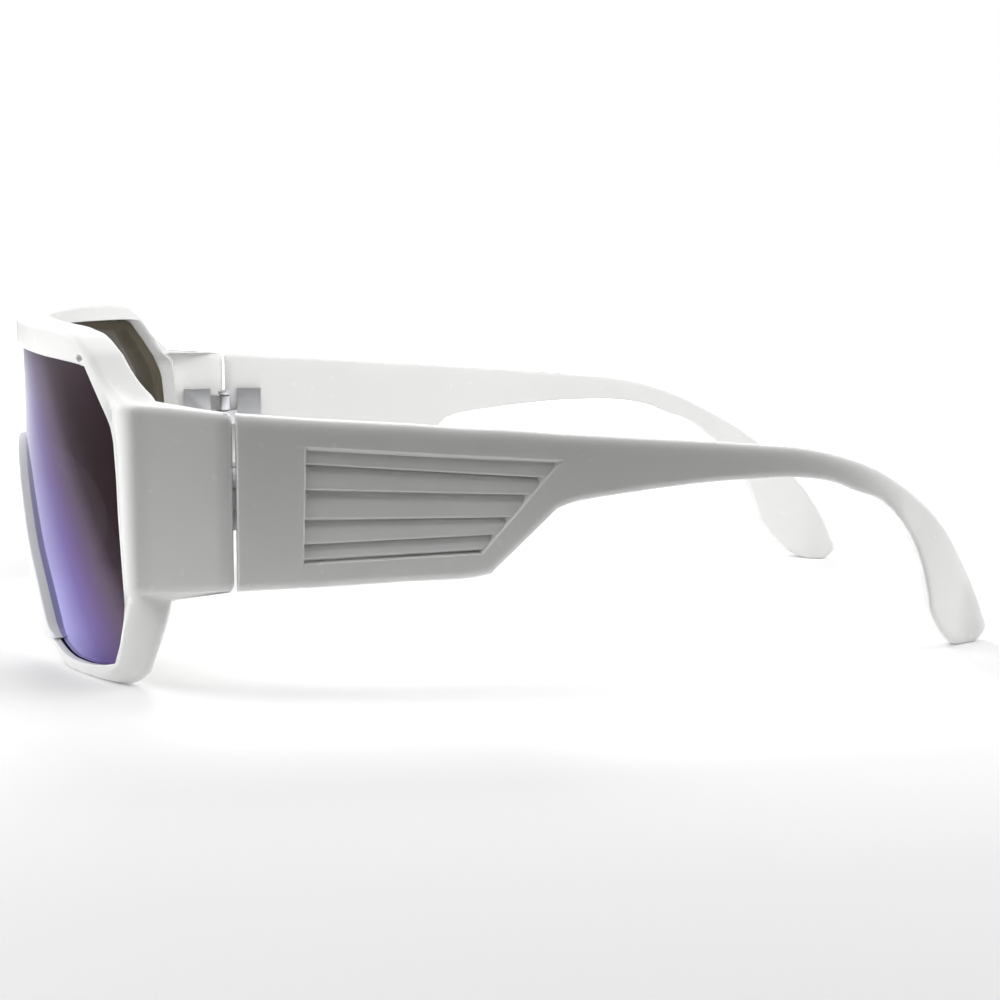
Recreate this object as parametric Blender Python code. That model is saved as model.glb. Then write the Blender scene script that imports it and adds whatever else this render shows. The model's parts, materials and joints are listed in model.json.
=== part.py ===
"""Wraparound sunglasses: a one-piece shield lens in a moulded front, with two folding temples.

Metres, +Z up. +Y runs from the lens to the temple tips and +X is the wearer's left.
The origin is on the surface that the sunglasses stand on, under the middle of their length.
Heights are measured from that surface, and lengths along the arms from the hinge gap.
"""

import math

import bmesh
import bpy
import numpy as np
from mathutils import Vector

# The whole object
FRAME_HEIGHT = 0.0595
RIM_HALF_WIDTH = 0.0650
FRONT_REACH = 0.0394
TEMPLE_LENGTH = 0.1400
TEMPLE_HEIGHT = 0.0466
CLEARANCE = 0.0003
OVERRUN = 0.0040

# The front, as a vertical cylinder that flattens at the sides, after it has fallen back this far
FRONT_FALL = 0.02035
FLAT_SIDE_X_SHARE = 0.912
FLAT_SIDE_SLOPE_SHARE = 0.43
RIM_DEPTH = 0.0065
RIM_WALL = 0.0008
RIM_FRONT_ROUND = 0.0012
RIM_REAR_ROUND = 0.0006
SLANT_REACH = 0.85
SLANT_FLATNESS = 0.6
CATCH_REACH = 0.0005
CATCH_THICKNESS = 0.0008
CATCH_BROW_SHARES = (0.30, 0.47)
CATCH_CHEEK_SHARES = (0.69, 0.82)
STATION_SPACING = 0.0032
DIMPLE_DIAMETER = 0.0020
DIMPLE_DEPTH = 0.0012
DIMPLE_X_SHARE = 0.783
DIMPLE_Z_SHARE = 0.921

# Opening x, opening z, outline x, outline z, then depth from front to rear, and for the cheek how far
# the edge between its front and its wall is slanted off
BROW_SHARES = (
    (0.000, 0.913, 0.000, 1.000, 0.92),
    (0.200, 0.912, 0.200, 1.000, 0.92),
    (0.400, 0.908, 0.405, 0.999, 0.92),
    (0.570, 0.903, 0.577, 0.996, 0.92),
    (0.700, 0.899, 0.697, 0.987, 0.92),
    (0.764, 0.895, 0.763, 0.968, 0.92),
    (0.800, 0.890, 0.814, 0.929, 0.92),
    (0.829, 0.844, 0.849, 0.884, 0.92),
    (0.860, 0.793, 0.892, 0.838, 0.95),
    (0.876, 0.766, 0.928, 0.807, 0.98),
)
BROW_CORNERS = (6,)
CHEEK_SHARES = (
    (0.946, 0.240, 1.000, 0.268, 0.97, 0.4),
    (0.938, 0.200, 0.996, 0.205, 0.91, 0.9),
    (0.920, 0.150, 0.974, 0.135, 0.86, 1.0),
    (0.891, 0.064, 0.938, 0.043, 0.66, 1.0),
    (0.856, 0.052, 0.895, 0.008, 0.56, 0.7),
    (0.815, 0.042, 0.840, 0.000, 0.51, 0.3),
    (0.760, 0.035, 0.765, 0.000, 0.51, 0.0),
    (0.690, 0.035, 0.690, 0.000, 0.51, 0.0),
    (0.650, 0.043, 0.642, 0.008, 0.52, 0.0),
    (0.615, 0.056, 0.595, 0.037, 0.54, 0.0),
    (0.583, 0.073, 0.556, 0.052, 0.56, 0.0),
    (0.557, 0.094, 0.520, 0.066, 0.60, 0.0),
    (0.545, 0.112, 0.505, 0.088, 0.65, 0.0),
)
CHEEK_CORNERS = (3, 5, 7)

# Nose notch of the opening: x, z, depth of the rim, depth of the nose piece
NOTCH_SHARES = (
    (0.532, 0.131, 0.65, 0.60),
    (0.492, 0.188, 0.65, 0.80),
    (0.385, 0.314, 0.65, 1.00),
    (0.285, 0.440, 0.65, 0.90),
    (0.185, 0.541, 0.65, 0.64),
    (0.090, 0.588, 0.65, 0.52),
    (0.000, 0.600, 0.65, 0.50),
)
NOTCH_BAND = 0.0017
NOTCH_STEP = 0.0006

# The arms that carry the hinges: opening x, opening z, height down the arm, turn round its edge
ARM_SHARES = (
    (0.884, 0.751, 0.00, 0.0),
    (0.889, 0.741, 0.00, 0.5),
    (0.8945, 0.728, 0.00, 1.0),
    (0.903, 0.690, 0.18, 1.0),
    (0.917, 0.479, 0.50, 1.0),
    (0.935, 0.330, 0.80, 1.0),
    (0.942, 0.279, 1.00, 1.0),
    (0.944, 0.264, 1.00, 0.5),
    (0.945, 0.252, 1.00, 0.0),
)
ARM_TOP_SLOPE_SHARE = -0.087
ARM_BOTTOM_SLOPE_SHARE = 0.081
ARM_STEP = 0.0005
ARM_SPREAD = 0.0045
ARM_CORNER_RADIUS = 0.0034
ARM_THICKNESS = 0.0040
ARM_EDGE_ROUND = 0.0010
ARM_ROOT_MARGIN = 0.0006
ARM_ROOT_DEPTH = 0.0022
HINGE_GAP = 0.0005

# The lens, another vertical cylinder behind the lip, which falls back further than the front
LENS_SETBACK = 0.0011
LENS_EXTRA_FALL = 0.0010
LENS_THICKNESS = 0.0016
LENS_OVERLAP = 0.0018
LENS_STRIPS = 48

# The nose piece
BEAD_PROUD = 0.0004
BEAD_EDGE_GAP = 0.0002
BEAD_ROUND = 0.0003
NOSE_WALL = 0.0009
NOSE_DEPTH = 0.0110
PAD_FLARE = 0.0014
NOSE_END_SHARE = 0.2

# The temples, measured back from the hinge gap: top y, top z, bottom y, bottom z
TEMPLE_SHARES = (
    (0.000, 1.000, 0.000, 0.382),
    (0.079, 0.983, 0.086, 0.393),
    (0.193, 0.964, 0.190, 0.410),
    (0.286, 0.946, 0.284, 0.427),
    (0.304, 0.944, 0.296, 0.436),
    (0.341, 0.936, 0.335, 0.550),
    (0.379, 0.927, 0.374, 0.665),
    (0.400, 0.923, 0.389, 0.682),
    (0.464, 0.910, 0.461, 0.717),
    (0.543, 0.895, 0.546, 0.745),
    (0.621, 0.876, 0.607, 0.755),
    (0.671, 0.861, 0.660, 0.757),
    (0.725, 0.826, 0.714, 0.736),
    (0.775, 0.773, 0.750, 0.695),
    (0.821, 0.700, 0.790, 0.650),
    (0.864, 0.618, 0.826, 0.560),
    (0.904, 0.519, 0.852, 0.470),
    (0.941, 0.393, 0.872, 0.365),
    (0.971, 0.258, 0.886, 0.250),
    (0.993, 0.120, 0.900, 0.135),
    (1.000, 0.052, 0.923, 0.052),
    (0.993, 0.021, 0.940, 0.014),
    (0.982, 0.000, 0.958, 0.000),
)
TEMPLE_CORNERS = (4, 6)
# How far out the outer face lies, and how thick the arm is, along its length
TEMPLE_BOW_SHARES = (
    (0.000, 0.9655),
    (0.186, 0.986),
    (0.379, 1.000),
    (0.543, 0.993),
    (0.621, 0.982),
    (0.671, 0.968),
    (0.714, 0.952),
    (0.771, 0.917),
    (0.821, 0.862),
    (0.857, 0.800),
    (0.893, 0.745),
    (0.929, 0.690),
    (0.971, 0.632),
    (1.000, 0.614),
)
TEMPLE_THICKNESS_SHARES = (
    (0.00, 1.00),
    (0.38, 0.95),
    (0.50, 0.80),
    (0.80, 0.80),
    (0.92, 1.00),
    (1.00, 0.95),
)
TEMPLE_EDGE_ROUND = 0.0012
TEMPLE_END_ROUND = 0.0008
TEMPLE_SPACING = 0.0045

# The louvred panel: the height of each line at its front and rear ends
LOUVRE_DEPTH = 0.0010
LOUVRE_FRONT_SHARE = 0.079
LOUVRE_REAR_SHARE = 0.357
LOUVRE_LINE_SHARES = (
    (0.893, 0.843),
    (0.826, 0.773),
    (0.736, 0.712),
    (0.631, 0.635),
    (0.545, 0.582),
    (0.474, 0.517),
)
# Place across a slat, and how deep its face lies there
SLAT_SHARES = ((0.02, 1.00), (0.20, 0.62), (0.45, 0.36), (0.80, 0.32), (0.93, 0.42), (0.98, 0.56))
# Corners of the panel, and how far each moves in by the full depth: y, z, inward y, inward z
PANEL_SHARES = (
    (0.080, 0.893, 0.3, -1.1),
    (0.381, 0.839, -3.3, -1.1),
    (0.286, 0.506, -1.3, 1.2),
    (0.077, 0.474, 0.3, 1.2),
)

# The hinges
HINGE_INSET = 0.0026
HINGE_LEAN = math.radians(4)
BARREL_DIAMETER = 0.0030
BORE_DIAMETER = 0.0020
SCREW_DIAMETER = 0.0014
SCREW_HEAD_DIAMETER = 0.0026
SCREW_HEAD_HEIGHT = 0.0009
SCREW_HEAD_EDGE = 0.0003
SCREW_SLOT_WIDTH = 0.0004
SCREW_SLOT_DEPTH = 0.0004
KNUCKLE_HEIGHT = 0.0032
LEAF_HEIGHT = 0.0130
LEAF_THICKNESS = 0.0010
LEAF_START = 0.0030
LEAF_ROOT_GAP = 0.0012
TEMPLE_LEAF_END = 0.0085

FLAT_SIDE_X = FLAT_SIDE_X_SHARE * RIM_HALF_WIDTH
ARM_TOP = TEMPLE_SHARES[0][1] * TEMPLE_HEIGHT
ARM_BOTTOM = TEMPLE_SHARES[0][3] * TEMPLE_HEIGHT
ARM_CORNER_X = RIM_HALF_WIDTH + ARM_STEP
ARM_END_HALF_WIDTH = ARM_CORNER_X + ARM_SPREAD
HALF_WIDTH = ARM_END_HALF_WIDTH / TEMPLE_BOW_SHARES[0][1]
HINGE_X = ARM_END_HALF_WIDTH - ARM_THICKNESS - HINGE_INSET
HINGE_MIDDLE = (ARM_TOP + ARM_BOTTOM) / 2
GAP_Y = (FRONT_REACH + BEAD_PROUD - TEMPLE_LENGTH) / 2
SIDES = {"left": 1, "right": -1}


def clear_scene():
    for old in list(bpy.data.objects):
        bpy.data.objects.remove(old, do_unlink=True)


def material(name, colour, roughness, metallic=0.0):
    made = bpy.data.materials.new(name)
    made.use_nodes = True
    shader = made.node_tree.nodes["Principled BSDF"]
    shader.inputs["Base Color"].default_value = (*colour, 1)
    shader.inputs["Roughness"].default_value = roughness
    shader.inputs["Metallic"].default_value = metallic
    made.diffuse_color = (*colour, 1)
    return made


def white_plastic():
    return material("white_plastic", (0.80, 0.80, 0.80), 0.22)


def nose_plastic():
    return material("nose_plastic", (0.68, 0.68, 0.68), 0.35)


def mirrored_lens():
    return material("mirrored_lens", (0.10, 0.06, 0.16), 0.05, 0.6)


def hinge_metal():
    return material("hinge_metal", (0.62, 0.62, 0.64), 0.30, 1.0)


def curve_through(rows, spacing, corners=(), mirrored_start=False, mirrored_end=False):
    """More rows along a smooth curve through these, with its direction free to break at the corners.

    Columns 0 and 2 are x values, which change sign across the middle of the object.
    """
    rows = np.array(rows)
    even = [column for column in range(rows.shape[1]) if column not in (0, 2)]
    breaks = sorted({0, len(rows) - 1, *corners})
    found = []
    for first, last in zip(breaks, breaks[1:]):
        run = rows[first : last + 1]
        steps = np.linalg.norm(np.diff(run[:, :2], axis=0), axis=1)
        chord = np.concatenate([[0], np.cumsum(steps)])
        slope = np.gradient(run, chord, axis=0)
        if mirrored_start and first == 0:
            slope[0, even] = 0
        if mirrored_end and last == len(rows) - 1:
            slope[-1, even] = 0
        for k, step in enumerate(steps):
            parts = max(1, round(step / spacing))
            for share in np.arange(parts) / parts:
                square, cube = share**2, share**3
                found.append(
                    run[k] * (2 * cube - 3 * square + 1)
                    + run[k + 1] * (3 * square - 2 * cube)
                    + slope[k] * step * (cube - 2 * square + share)
                    + slope[k + 1] * step * (cube - square)
                )
    found.append(rows[-1])
    return np.array(found)


def scaled(rows, *sizes):
    return [[share * size for share, size in zip(row, sizes)] for row in rows]


def arc_radius(half_chord, fall):
    return (half_chord**2 + fall**2) / (2 * fall)


def front_y(x):
    """The front surface, before it is placed: the hinge gap is y = 0 and the lens side is negative."""
    radius = arc_radius(FLAT_SIDE_X, FRONT_FALL)
    across = min(abs(x), FLAT_SIDE_X)
    curve = radius - math.sqrt(radius**2 - across**2)
    return curve - FRONT_REACH + (abs(x) - across) * FLAT_SIDE_SLOPE_SHARE


def lens_y(x, depth=0):
    """The front of the lens, or the surface at this depth behind it."""
    radius = arc_radius(FLAT_SIDE_X, FRONT_FALL + LENS_EXTRA_FALL)
    return radius + LENS_SETBACK - FRONT_REACH - math.sqrt((radius - depth) ** 2 - x**2)


def lens_rear_y(x):
    return lens_y(x, LENS_THICKNESS)


def mesh_object(name, mesh, finish, parent):
    made = bpy.data.objects.new(name, mesh)
    bpy.context.scene.collection.objects.link(made)
    made.parent = parent
    mesh.materials.append(finish)
    return made


def empty(name, place, parent=None):
    made = bpy.data.objects.new(name, None)
    bpy.context.scene.collection.objects.link(made)
    made.location = place
    made.parent = parent
    return made


def finish_mesh(name, shape, shading_angle=math.radians(35)):
    bmesh.ops.recalc_face_normals(shape, faces=shape.faces)
    mesh = bpy.data.meshes.new(name)
    shape.to_mesh(mesh)
    shape.free()
    mesh.shade_smooth()
    mesh.set_sharp_from_angle(angle=shading_angle)
    return mesh


def skin(name, rings, closed=False):
    """A mesh over rings of points, each joined to the next, and capped unless the last meets the first."""
    shape = bmesh.new()
    loops = [[shape.verts.new(point) for point in ring] for ring in rings]
    pairs = list(zip(loops, loops[1:] + loops[:1] if closed else loops[1:]))
    for one, other in pairs:
        for k in range(len(one)):
            following = (k + 1) % len(one)
            shape.faces.new((one[k], one[following], other[following], other[k]))
    if not closed:
        shape.faces.new(loops[0])
        shape.faces.new(loops[-1])
    return finish_mesh(name, shape)


def cut(target, cutter, operation="DIFFERENCE"):
    cutter.hide_render = True
    cutter.display_type = "WIRE"
    change = target.modifiers.new(cutter.name, "BOOLEAN")
    change.operation = operation
    change.solver = "EXACT"
    change.object = cutter


def rebate_width(width):
    """From the opening's edge to the wall that the lens edge faces."""
    return min(LENS_OVERLAP + CLEARANCE, width - RIM_WALL)


def lens_pocket(place, rebate, catch):
    """The rear corner of the rim, the catch, the rebate wall and the ledge behind the lip, as (point, y)."""
    wall_x = place(rebate)[0]
    behind = lens_rear_y(wall_x) + CLEARANCE
    rear = max(place.rear(rebate), behind + CATCH_THICKNESS)
    reach = rebate - CATCH_REACH * catch
    under = behind + (rear - behind) / 2 * (1 - catch)
    return [
        (reach, rear),
        (reach, under),
        (rebate, behind),
        (rebate, lens_y(wall_x) - CLEARANCE),
        (0, lens_y(place(0)[0]) - CLEARANCE),
    ]


class Across:
    """A straight way across the rim, from the opening's edge to the outline."""

    def __init__(self, row):
        self.start = np.array(row[:2])
        self.width = math.dist(row[:2], row[2:4])
        self.along = (np.array(row[2:4]) - self.start) / self.width
        self.depth, self.step, self.slant = row[4:]

    def __call__(self, distance):
        return self.start + self.along * distance

    def rear(self, distance):
        return front_y(self(distance)[0]) + self.depth


def has_catch(row):
    """The lens snaps behind short catches: two along the brow and two at the bottom."""
    brow = row[1] > FRAME_HEIGHT / 2
    first, last = CATCH_BROW_SHARES if brow else CATCH_CHEEK_SHARES
    return (brow or row[3] < RIM_WALL) and first < row[0] / RIM_HALF_WIDTH < last


def rim_section(row):
    place = Across(row)
    width = place.width
    rear_round = min(RIM_REAR_ROUND, width / 4)
    wall = place.depth - place.step - rear_round
    round_width = round_depth = min(RIM_FRONT_ROUND, width / 2)
    round_width += (width - round_width) * SLANT_REACH * place.slant
    round_depth += (wall - round_depth) * SLANT_REACH * place.slant
    power = 1 + SLANT_FLATNESS * place.slant
    flat = width - round_width
    points = [(0, 0), (flat / 2, 0), (flat, 0)]
    for turn in (math.radians(30), math.radians(60), math.radians(90)):
        over, down = math.sin(turn) ** power, 1 - abs(math.cos(turn)) ** power
        points.append((flat + round_width * over, round_depth * down))
    for share in (1 / 3, 2 / 3, 1):
        points.append((width, round_depth + (wall - round_depth) * share))
    ring = [(distance, front_y(place(distance)[0]) + place.step + back) for distance, back in points]
    pocket = lens_pocket(place, rebate_width(width), has_catch(row))
    rear_edge = (width - rear_round, place.rear(width))
    ring.append(rear_edge)
    for share in (1 / 3, 2 / 3):
        ring.append(tuple(np.array(rear_edge) * (1 - share) + np.array(pocket[0]) * share))
    ring.extend(pocket)
    return [(*place(distance), y) for distance, y in ring]


def arm_corner():
    """Where the rounded corner between the front and the arm starts, and where the arm's flat side does."""
    x = ARM_CORNER_X - ARM_CORNER_RADIUS
    return x, front_y(x), front_y(x) + ARM_CORNER_RADIUS


def arm_outer_x(y):
    """The outer face of the arm that carries the hinge."""
    side_y = arm_corner()[2]
    share = (y - side_y) / (-HINGE_GAP / 2 - side_y)
    return ARM_CORNER_X + (ARM_END_HALF_WIDTH - ARM_CORNER_X) * share


def arm_plan(inner_x):
    """The arm seen from above, as (x, y, inward x, inward y), in the order of a rim section."""
    corner_x, corner_y, side_y = arm_corner()
    end_y = -HINGE_GAP / 2
    inner_end = ARM_END_HALF_WIDTH - ARM_THICKNESS
    wall_x = inner_x + LENS_OVERLAP + CLEARANCE
    root_y = lens_rear_y(wall_x) + CLEARANCE + ARM_ROOT_DEPTH
    root_x = max(wall_x, RIM_HALF_WIDTH - LENS_OVERLAP) + ARM_ROOT_MARGIN
    points = [(inner_x, front_y(inner_x), 0, 0)]
    middle = (inner_x + corner_x) / 2
    points.append((middle, front_y(middle), 0, 1 / 2))
    for turn in (math.radians(0), math.radians(30), math.radians(60), math.radians(90)):
        x = corner_x + ARM_CORNER_RADIUS * math.sin(turn)
        y = side_y - (side_y - corner_y) * math.cos(turn)
        points.append((x, y, -math.sin(turn), math.cos(turn)))
    middle = side_y / 2
    points.append((arm_outer_x(middle), middle, -1, 0))
    near_end = end_y - ARM_EDGE_ROUND
    points.append((arm_outer_x(near_end), near_end, -1, 0))
    points.append((ARM_END_HALF_WIDTH - ARM_EDGE_ROUND, end_y, -1 / 2, -1 / 2))
    points.append((inner_end + ARM_EDGE_ROUND / 2, end_y, 1 / 2, -1 / 2))
    points.append((inner_end, near_end, 1, 0))
    points.append((root_x, root_y, 1 / 4, 0))
    return points, wall_x, root_y


def arm_section(row):
    """A section of the rim where it runs back into the arm."""
    inner_x, inner_z, height_share, turn_share = row
    plan, wall_x, root_y = arm_plan(inner_x)
    turn = turn_share * math.pi / 2
    inset = ARM_EDGE_ROUND * (1 - math.sin(turn))
    drop = ARM_EDGE_ROUND * (1 - math.cos(turn))
    meet_x = arm_corner()[0]

    def height(x, y):
        top = ARM_TOP + ARM_TOP_SLOPE_SHARE * y - drop
        bottom = ARM_BOTTOM + ARM_BOTTOM_SLOPE_SHARE * y + drop
        outer = top + (bottom - top) * height_share
        return inner_z + (outer - inner_z) * min(1, (x - inner_x) / (meet_x - inner_x))

    ring = []
    for x, y, inward_x, inward_y in plan:
        x, y = x + inset * inward_x, y + inset * inward_y
        ring.append((x, height(x, y), y))
    pocket = (
        (wall_x, root_y),
        (wall_x, root_y - CATCH_THICKNESS / 2),
        (wall_x, lens_rear_y(wall_x) + CLEARANCE),
        (wall_x, lens_y(wall_x) - CLEARANCE),
        (inner_x, lens_y(inner_x) - CLEARANCE),
    )
    ring.extend((x, height(x, y), y) for x, y in pocket)
    return ring


def notch_rows(spacing=STATION_SPACING):
    """The nose notch: x, z, rim depth, nose piece depth, then the way from the opening to the nose."""
    sizes = (RIM_HALF_WIDTH, FRAME_HEIGHT, RIM_DEPTH, NOSE_DEPTH)
    x, z, depth, nose = np.array(scaled(NOTCH_SHARES, *sizes)).T
    rows = np.array([x, z, np.zeros_like(x), depth, nose]).T
    rows = curve_through(rows, spacing, mirrored_end=True)
    ways = []
    for k in range(len(rows)):
        one, other = rows[max(k - 1, 0), :2], rows[min(k + 1, len(rows) - 1), :2]
        if k == len(rows) - 1:
            other = one * (-1, 1)
        step = (other - one) / math.dist(one, other)
        ways.append((step[1], -step[0]))
    ways = -np.array(ways)
    return rows[:, :2], rows[:, 3], rows[:, 4], ways


def half_rim_rows():
    """The rows of the rim's right half in three runs: brow, arm and the way round the cheek to the nose."""
    sizes = (RIM_HALF_WIDTH, FRAME_HEIGHT, RIM_HALF_WIDTH, FRAME_HEIGHT, RIM_DEPTH)
    brow = curve_through(scaled(BROW_SHARES, *sizes), STATION_SPACING, BROW_CORNERS, mirrored_start=True)
    cheek = curve_through(scaled(CHEEK_SHARES, *sizes, 1), STATION_SPACING, CHEEK_CORNERS)
    places, depths, _, ways = notch_rows()
    brow = [(*row, 0, 0) for row in brow]
    cheek = [(*row[:5], 0, row[5]) for row in cheek]
    notch = []
    for place, depth, way in zip(places, depths, ways):
        notch.append((*place, *(place + way * NOTCH_BAND), depth, NOTCH_STEP, 0))
    arm = [(x * RIM_HALF_WIDTH, z * FRAME_HEIGHT, height, turn) for x, z, height, turn in ARM_SHARES]
    return brow, arm, cheek + notch


def ring_points(sections):
    """Sections hold (x, z, y): this turns them round to x, y, z."""
    return [[(x, y, z) for x, z, y in section] for section in sections]


def mirrored_loop(half):
    """A whole loop from its half, whose first and last rings lie in the middle of the object."""
    other = [[(-x, y, z) for x, y, z in ring] for ring in half[-2:0:-1]]
    return half + other


def front_frame(finish, parent):
    brow, arm, lower = half_rim_rows()
    half = [rim_section(row) for row in brow] + [arm_section(row) for row in arm]
    half += [rim_section(row) for row in lower]
    frame = mesh_object("front_frame", skin("front_frame", mirrored_loop(ring_points(half)), True), finish, parent)
    for side, sign in SIDES.items():
        cut(frame, dimple_cutter(side, sign, finish, parent))
    return frame


def dimple_cutter(side, sign, finish, parent):
    x = DIMPLE_X_SHARE * RIM_HALF_WIDTH
    y = front_y(x)
    return cylinder(f"{side}_dimple_cutter", (sign * x, y - OVERRUN, DIMPLE_Z_SHARE * FRAME_HEIGHT),
                    (sign * x, y + DIMPLE_DEPTH, DIMPLE_Z_SHARE * FRAME_HEIGHT),
                    DIMPLE_DIAMETER / 2, finish, parent)


def cylinder(name, start, end, radius, finish, parent, sides=20):
    """A plain round bar between two points."""
    start, end = Vector(start), Vector(end)
    along = end - start
    across = along.orthogonal().normalized()
    other = along.cross(across).normalized()
    rings = []
    for centre in (start, end):
        turns = [math.tau * k / sides for k in range(sides)]
        rings.append([centre + radius * (across * math.cos(turn) + other * math.sin(turn)) for turn in turns])
    return mesh_object(name, skin(name, rings), finish, parent)


def lens_outline():
    """The lens edge seen from the front, the whole way round."""
    brow, arm, lower = half_rim_rows()
    half = []
    for row in brow + lower:
        place = Across(row)
        if row is lower[0]:
            half += [(x + LENS_OVERLAP, z) for x, z, _, _ in arm]
        half.append(tuple(place(rebate_width(place.width) - CLEARANCE)))
    return half + [(-x, z) for x, z in half[-2:0:-1]]


def shield_lens(finish, parent):
    reach = RIM_HALF_WIDTH + LENS_OVERLAP
    rings = []
    for k in range(LENS_STRIPS + 1):
        x = reach * (2 * k / LENS_STRIPS - 1)
        front, rear = lens_y(x), lens_rear_y(x)
        rings.append([(x, y, z) for y, z in ((front, -OVERRUN), (rear, -OVERRUN),
                                             (rear, FRAME_HEIGHT), (front, FRAME_HEIGHT))])
    lens = mesh_object("shield_lens", skin("shield_lens", rings), finish, parent)
    outline = lens_outline()
    ends = (-FRONT_REACH - OVERRUN, OVERRUN)
    edge = skin("lens_edge", [[(x, y, z) for x, z in outline] for y in ends])
    cut(lens, mesh_object("lens_edge", edge, finish, parent), "INTERSECT")
    return lens


def nose_section(place, way, depth, rim_depth):
    inner = BEAD_EDGE_GAP
    under = NOTCH_STEP - CLEARANCE
    web = NOTCH_BAND + CLEARANCE
    outer = web + NOSE_WALL
    bend = rim_depth + CLEARANCE
    rear = max(depth, bend + BEAD_ROUND)
    flare = PAD_FLARE * (rear - bend) / (NOSE_DEPTH - bend)
    points = (
        (inner, under),
        (inner, -BEAD_PROUD + BEAD_ROUND),
        (inner + BEAD_ROUND, -BEAD_PROUD),
        (outer - BEAD_ROUND, -BEAD_PROUD),
        (outer, -BEAD_PROUD + BEAD_ROUND),
        (outer, bend),
        (outer - flare, rear - NOSE_WALL / 2),
        (outer - flare - NOSE_WALL / 2, rear),
        (web - flare, rear - NOSE_WALL / 2),
        (web, bend),
        (web, under),
    )
    ring = []
    for distance, back in points:
        x, z = place + way * distance
        ring.append((x, front_y(x) + back, z))
    return ring


def nose_piece(finish, parent):
    places, rim_depths, depths, ways = notch_rows()
    rings = [nose_section(*values) for values in zip(places, ways, depths, rim_depths)]
    rings[0] = [Vector(a).lerp(b, NOSE_END_SHARE) for a, b in zip(rings[0], rings[1])]
    whole = rings + [[(-x, y, z) for x, y, z in ring] for ring in rings[-2::-1]]
    return mesh_object("nose_piece", skin("nose_piece", whole), finish, parent)


def temple_outer_x(y):
    along, out = np.array(TEMPLE_BOW_SHARES).T
    fine = curve_through(list(zip(along, out)), along[-1] / len(along) / 2)
    return float(np.interp(y / TEMPLE_LENGTH, fine[:, 0], fine[:, 1])) * HALF_WIDTH


def temple_thickness(y):
    along, share = np.array(TEMPLE_THICKNESS_SHARES).T
    return float(np.interp(y / TEMPLE_LENGTH, along, share)) * ARM_THICKNESS


def temple_section(top, bottom, start=0.0, inset=0.0):
    """A rounded section between a point of the top edge and one of the bottom edge."""
    height = math.dist(top, bottom)
    points = []
    for face, edge in ((0, 1), (1, 1), (1, 0), (0, 0)):
        turns = (0, 0.5, 1) if face == edge else (1, 0.5, 0)
        for share in turns:
            turn = share * math.pi / 2
            points.append((face, edge, 1 - math.sin(turn), 1 - math.cos(turn)))
    ring = []
    for face, edge, from_face, from_edge in points:
        y, z = [low + (high - low) * edge for low, high in zip(bottom, top)]
        thickness = temple_thickness(y)
        round_size = min(TEMPLE_EDGE_ROUND, thickness / 3, height / 3)
        drop = (round_size * from_edge + inset) / height * (1 if edge == 0 else -1)
        y += (top[0] - bottom[0]) * drop
        z += (top[1] - bottom[1]) * drop
        shift = round_size * from_face + inset
        x = temple_outer_x(y) - (shift if face == 0 else thickness - shift)
        ring.append((x, y + start, z))
    return ring


def temple_rows():
    sizes = (TEMPLE_LENGTH, TEMPLE_HEIGHT, TEMPLE_LENGTH, TEMPLE_HEIGHT)
    return curve_through(scaled(TEMPLE_SHARES, *sizes), TEMPLE_SPACING, TEMPLE_CORNERS)


def temple(side, sign, finish, parent):
    rows = temple_rows()
    start = HINGE_GAP / 2
    rings = [temple_section(rows[0][:2], rows[0][2:], start, TEMPLE_END_ROUND)]
    rings.append(temple_section(rows[0][:2], rows[0][2:], start + TEMPLE_END_ROUND))
    rings += [temple_section(row[:2], row[2:]) for row in rows[1:]]
    name = f"{side}_temple"
    mesh = skin(name, [[hinge_point(sign, *point) for point in ring] for ring in rings])
    made = mesh_object(name, mesh, finish, parent)
    slats = louvre_cutter(side, sign, finish, parent)
    cut(slats, panel_cutter(side, sign, finish, parent), "INTERSECT")
    cut(made, slats)
    return made


def hinge_point(sign, x, y, z):
    """A point of a left piece, seen from its hinge axis, and mirrored for the right."""
    return (sign * (x - HINGE_X), y, z - HINGE_MIDDLE)


def barrel_point(sign, turn, radius, height):
    """A point round the hinge axis, whose top leans in towards the middle of the object."""
    across = radius * math.cos(turn)
    x = across * math.cos(HINGE_LEAN) - height * math.sin(HINGE_LEAN)
    z = across * math.sin(HINGE_LEAN) + height * math.cos(HINGE_LEAN)
    return (sign * x, radius * math.sin(turn), z)


def barrel_ring(sign, radius, height, sides=24):
    return [barrel_point(sign, math.tau * k / sides, radius, height) for k in range(sides)]


def louvre_z(line, y):
    front, rear = LOUVRE_LINE_SHARES[line]
    share = (y / TEMPLE_LENGTH - LOUVRE_FRONT_SHARE) / (LOUVRE_REAR_SHARE - LOUVRE_FRONT_SHARE)
    return (front + (rear - front) * share) * TEMPLE_HEIGHT


def louvre_cutter(side, sign, finish, parent):
    """What lies in front of the slats, over a wider stretch than the panel."""
    rings = []
    first, last = PANEL_SHARES[3][0] * TEMPLE_LENGTH - OVERRUN, PANEL_SHARES[1][0] * TEMPLE_LENGTH + OVERRUN
    for y in np.linspace(first, last, round((last - first) / TEMPLE_SPACING) + 1):
        face = temple_outer_x(y)
        ring = [(face + OVERRUN, louvre_z(0, y) + OVERRUN), (face - LOUVRE_DEPTH, louvre_z(0, y) + OVERRUN)]
        for line in range(len(LOUVRE_LINE_SHARES) - 1):
            upper, lower = louvre_z(line, y), louvre_z(line + 1, y)
            for across, depth in SLAT_SHARES:
                ring.append((face - LOUVRE_DEPTH * depth, upper + (lower - upper) * across))
        ring.append((face - LOUVRE_DEPTH, louvre_z(-1, y) - OVERRUN))
        ring.append((face + OVERRUN, louvre_z(-1, y) - OVERRUN))
        rings.append([hinge_point(sign, x, y, z) for x, z in ring])
    name = f"{side}_louvre_cutter"
    return mesh_object(name, skin(name, rings), finish, parent)


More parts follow.
